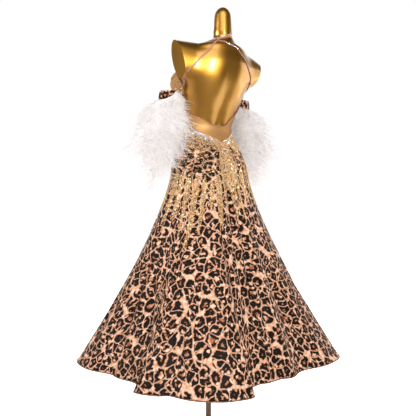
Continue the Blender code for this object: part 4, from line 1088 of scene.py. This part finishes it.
def belowBand(points, side, word):
    # feathers reach up over the band only on either side of it; elsewhere, and further out,
    # they hang below it
    f = feathers
    outX = side * points[..., 0] - armBand["centre"][0]
    outY = points[..., 1] - armBand["centre"][1]
    turned = np.abs(np.degrees(np.arctan2(outY, outX)))
    peak = f["peak"] * np.exp(-((turned - f["peakTurn"][word]) / f["peakWidth"])**2)
    further = np.maximum(np.hypot(outX, outY) - f["shoulder"], 0)
    highest = armBand["height"] - 0.024 + peak - f["slope"] * further
    lowered = points.copy()
    lowered[..., 2] -= np.maximum(points[..., 2] - highest, 0) * 0.92
    return lowered


def buildFeathers(side, word, row, seed):
    random = np.random.default_rng(seed)
    name, over, swell, tip, hang = row
    f = feathers
    count = f["plumes"]
    angle = -side * np.linspace(-f["sweep"] / 2, f["sweep"] / 2, count) + random.normal(0, 0.03, count)
    # some plumes spring from lower down and leave the band bare there;
    # those on the inner side are short, as they lie against the dress
    outer = np.clip(np.cos(np.abs(angle) - math.radians(f["bareTurn"][word])), 0, 1)**2
    within = np.clip(-np.cos(angle), 0, 1)
    inner = armBand["radius"] + armBand["swell"] * (1 - abs(over) / (armBand["tall"] / 2)) + 0.0035
    top = (armBand["height"] + over + 0.001 - f["dip"] * outer**2)[:, None]
    hangs = (hang * f["shorter"] * random.uniform(0.72, 1.06, count) * (1 - 0.25 * within))[:, None]
    swells = (swell * f["slimmer"] * random.uniform(0.66, 1.08, count) * (1 - 0.50 * within))[:, None]
    lifts = (f["lift"] * random.uniform(0.3, 1.2, count) * (1.5 - outer))[:, None]
    bend = random.normal(0, 0.14, (count, 1))

    def place(share):
        bent = angle[:, None] + bend * share**1.5
        return plumePath(side, bent, share, swells, tip, hangs, inner, top, lifts)

    outward = np.stack([side * np.cos(angle), np.sin(angle), 0 * angle], -1)[:, None]
    # barbs leave the quill on both sides, curl away from the arm and droop at their ends
    at = np.sort(random.uniform(0.0, 1.0, (count, f["barbs"])), 1)
    origin = place(at)
    ahead = unit(place(np.minimum(at + 0.04, 1.04)) - origin)
    aside = unit(np.cross(ahead, outward + 0 * ahead))

    def anyOf(low, high):
        return random.uniform(low, high, at.shape)[..., None]

    hand = np.where(random.random(at.shape) < 0.5, -1.0, 1.0)[..., None]
    direction = ahead * anyOf(0.1, 0.9) + aside * hand * anyOf(0.2, 1.1)
    direction = direction + outward * random.normal(0.45, 0.45, at.shape)[..., None]
    direction = unit(direction + random.normal(0, 0.28, at.shape + (3,)))
    length = anyOf(*f["barbLength"]) * np.clip(0.35 + 2.2 * at, 0.35, 1.1)[..., None]
    curl = random.normal(0, 0.42, at.shape + (3,)) + (0, 0, -f["droop"])
    steps = np.linspace(0, 1, 5)
    paths = np.stack([origin + length * (direction * (t - 0.25 * t**2) + curl * t**2) for t in steps], 2)
    paths = clearOfDress(belowBand(paths.reshape(-1, len(steps), 3), side, word), 0.001)
    taper = np.array([[0.9, 1.0, 0.8, 0.5, 0.12]])
    widths = taper * f["barbWidth"] * random.uniform(0.6, 1.3, (len(paths), 1))
    tints = random.normal(0.30, 0.20, (len(paths), 1)) + np.linspace(-0.1, 0.2, 5)[None]
    tints = np.clip(tints + 0.45 * (random.random((len(paths), 1)) < 0.015), 0, 1)
    faced = np.repeat(outward, f["barbs"], 1).reshape(-1, 3) + random.normal(0, 0.35, (len(paths), 3))
    facing = unit(np.cross(paths[:, -1] - paths[:, 0], faced))
    addPiece(f"feathers_{word}_{name}Barbs", strandMesh("barbs", paths, widths, tints, facing), ostrich,
             f"feathers_{word}_{name}")
    quill = clearOfDress(belowBand(place(np.linspace(0, 1, 14)[None]), side, word), 0.001)
    widths = np.linspace(0.0015, 0.0005, 14)[None] * np.ones((count, 1))
    tints = np.clip(random.normal(0.55, 0.3, (count, 1)) + 0 * quill[..., 0], 0, 1)
    facing = unit(np.cross(quill[:, -1] - quill[:, 0], outward[:, 0]))
    addPiece(f"feathers_{word}_{name}Quills", strandMesh("quills", quill, widths, tints, facing), ostrich)


for side, word in ((1, "left"), (-1, "right")):
    buildArmBand(side, word)
    for index, row in enumerate(trims):
        buildFeathers(side, word, row, 40 + index + 10 * side)
print("arm bands and feathers made")

# the studio

# the floor's colour in front of the dress is a darker grey-brown: painted shade for the dim side of the room
studio = {"turn": 34, "distance": 2.2, "height": 0.945, "lens": 528 / 416 * 36, "sensor": 36,
          "shiftX": -0.5 / 416, "floor": "#F4F3F2", "floorNearPaintedShade": "#8E8780",
          "floorRings": (0.001, 1.0, 3.0, 9.0)}
# azimuth in degrees from the back of the dress towards its left, distance, height, height of its
# aim, width and height of the box, power
lights = {"keyBox": (14, 2.7, 1.50, 1.1, (0.26, 1.6), 62), "sideBox": (-76, 2.7, 1.5, 1.1, (1.6, 1.8), 17),
          "leftFill": (100, 2.8, 1.9, 0.9, (0.9, 1.4), 50), "highFill": (34, 1.9, 3.0, 0.8, (2.2, 1.4), 24),
          "frontBox": (200, 3.0, 1.9, 0.9, (1.4, 1.6), 40)}
turn = math.radians(studio["turn"])
towardsCamera = (math.sin(turn), math.cos(turn), 0)


def addCamera():
    data = bpy.data.cameras.new("camera")
    data.sensor_width = studio["sensor"]
    data.sensor_height = studio["sensor"]
    data.sensor_fit = "HORIZONTAL"
    data.lens = studio["lens"]
    data.shift_x = studio["shiftX"]
    data.clip_end = 60
    camera = addObject("camera", data)
    x, y, _ = towardsCamera
    camera.location = (studio["distance"] * x, studio["distance"] * y, studio["height"])
    camera.rotation_euler = (math.pi / 2, 0, math.pi - turn)
    bpy.context.scene.camera = camera


def addFloor():  # behind the dress the floor glows white, painted light that blends it into the white backdrop; in front it is painted a darker grey-brown, a painted shade for the dim side of the room
    made, tree, shader = newMaterial("painted studio floor", {
        "Roughness": 0.9, "Specular IOR Level": 0.1, "Emission Color": "#FFFFFF"})
    place = addNode(tree, "TexCoord", {})["Object"]
    ahead = addNode(tree, "VectorMath", {"operation": "DOT_PRODUCT", 0: place, 1: towardsCamera})["Value"]
    back = addNode(tree, "Math", {"operation": "MULTIPLY_ADD", 0: ahead, 1: -0.5, 2: 0.5})[0]
    paintedGlowShare = addNode(tree, "ValToRGB", {"Fac": back, "stops": ((0.0, 0.0), (0.62, 1.0))})["Color"]
    paintedGlowShare.node.color_ramp.interpolation = "EASE"
    shade = addNode(tree, "Mix", {"data_type": "RGBA", 0: paintedGlowShare, 6: studio["floorNearPaintedShade"], 7: studio["floor"]})[2]
    setNode(tree, shader, {"Base Color": shade, "Emission Strength": paintedGlowShare})
    angle = np.linspace(0, 2 * math.pi, 97)[:-1]
    rings = np.stack([np.stack([r * np.sin(angle), r * np.cos(angle), 0 * angle - 0.0005], -1)
                      for r in studio["floorRings"]])
    floor = addObject("studioFloor", gridMesh("studioFloor", rings, closedRound=True))
    floor.data.materials.append(made)


def addLight(name, azimuth, distance, height, aimHeight, size, power):
    around = math.radians(azimuth)
    data = bpy.data.lights.new(name, "AREA")
    data.shape = "RECTANGLE"
    data.size, data.size_y = size
    data.energy = power
    light = addObject(name, data)
    light.location = (distance * math.sin(around), distance * math.cos(around), height)
    light.rotation_euler = (math.pi / 2 - math.atan2(height - aimHeight, distance), 0, math.pi - around)


def addWorld():  # a white room in front of the dress, warm grey elsewhere
    world = bpy.data.worlds.new("studio")
    world.use_nodes = True
    bpy.context.scene.world = world
    tree = world.node_tree
    heading = addNode(tree, "TexCoord", {})["Generated"]
    ahead = addNode(tree, "VectorMath", {"operation": "DOT_PRODUCT", 0: heading, 1: towardsCamera})["Value"]
    half = addNode(tree, "Math", {"operation": "MULTIPLY_ADD", 0: ahead, 1: 0.5, 2: 0.5})[0]
    stops = ((0.0, "#FFFFFF"), (0.10, "#FFFFFF"), (0.25, "#51493F"), (0.6, "#51493F"), (0.85, "#6E6459"))
    colour = addNode(tree, "ValToRGB", {"Fac": half, "stops": stops})["Color"]
    setNode(tree, tree.nodes["Background"], {"Color": colour, "Strength": 1.0})


addCamera()
addFloor()
for name, row in lights.items():
    addLight(name, *row)
addWorld()
bpy.context.scene.view_settings.view_transform = "Standard"
print("studio made")
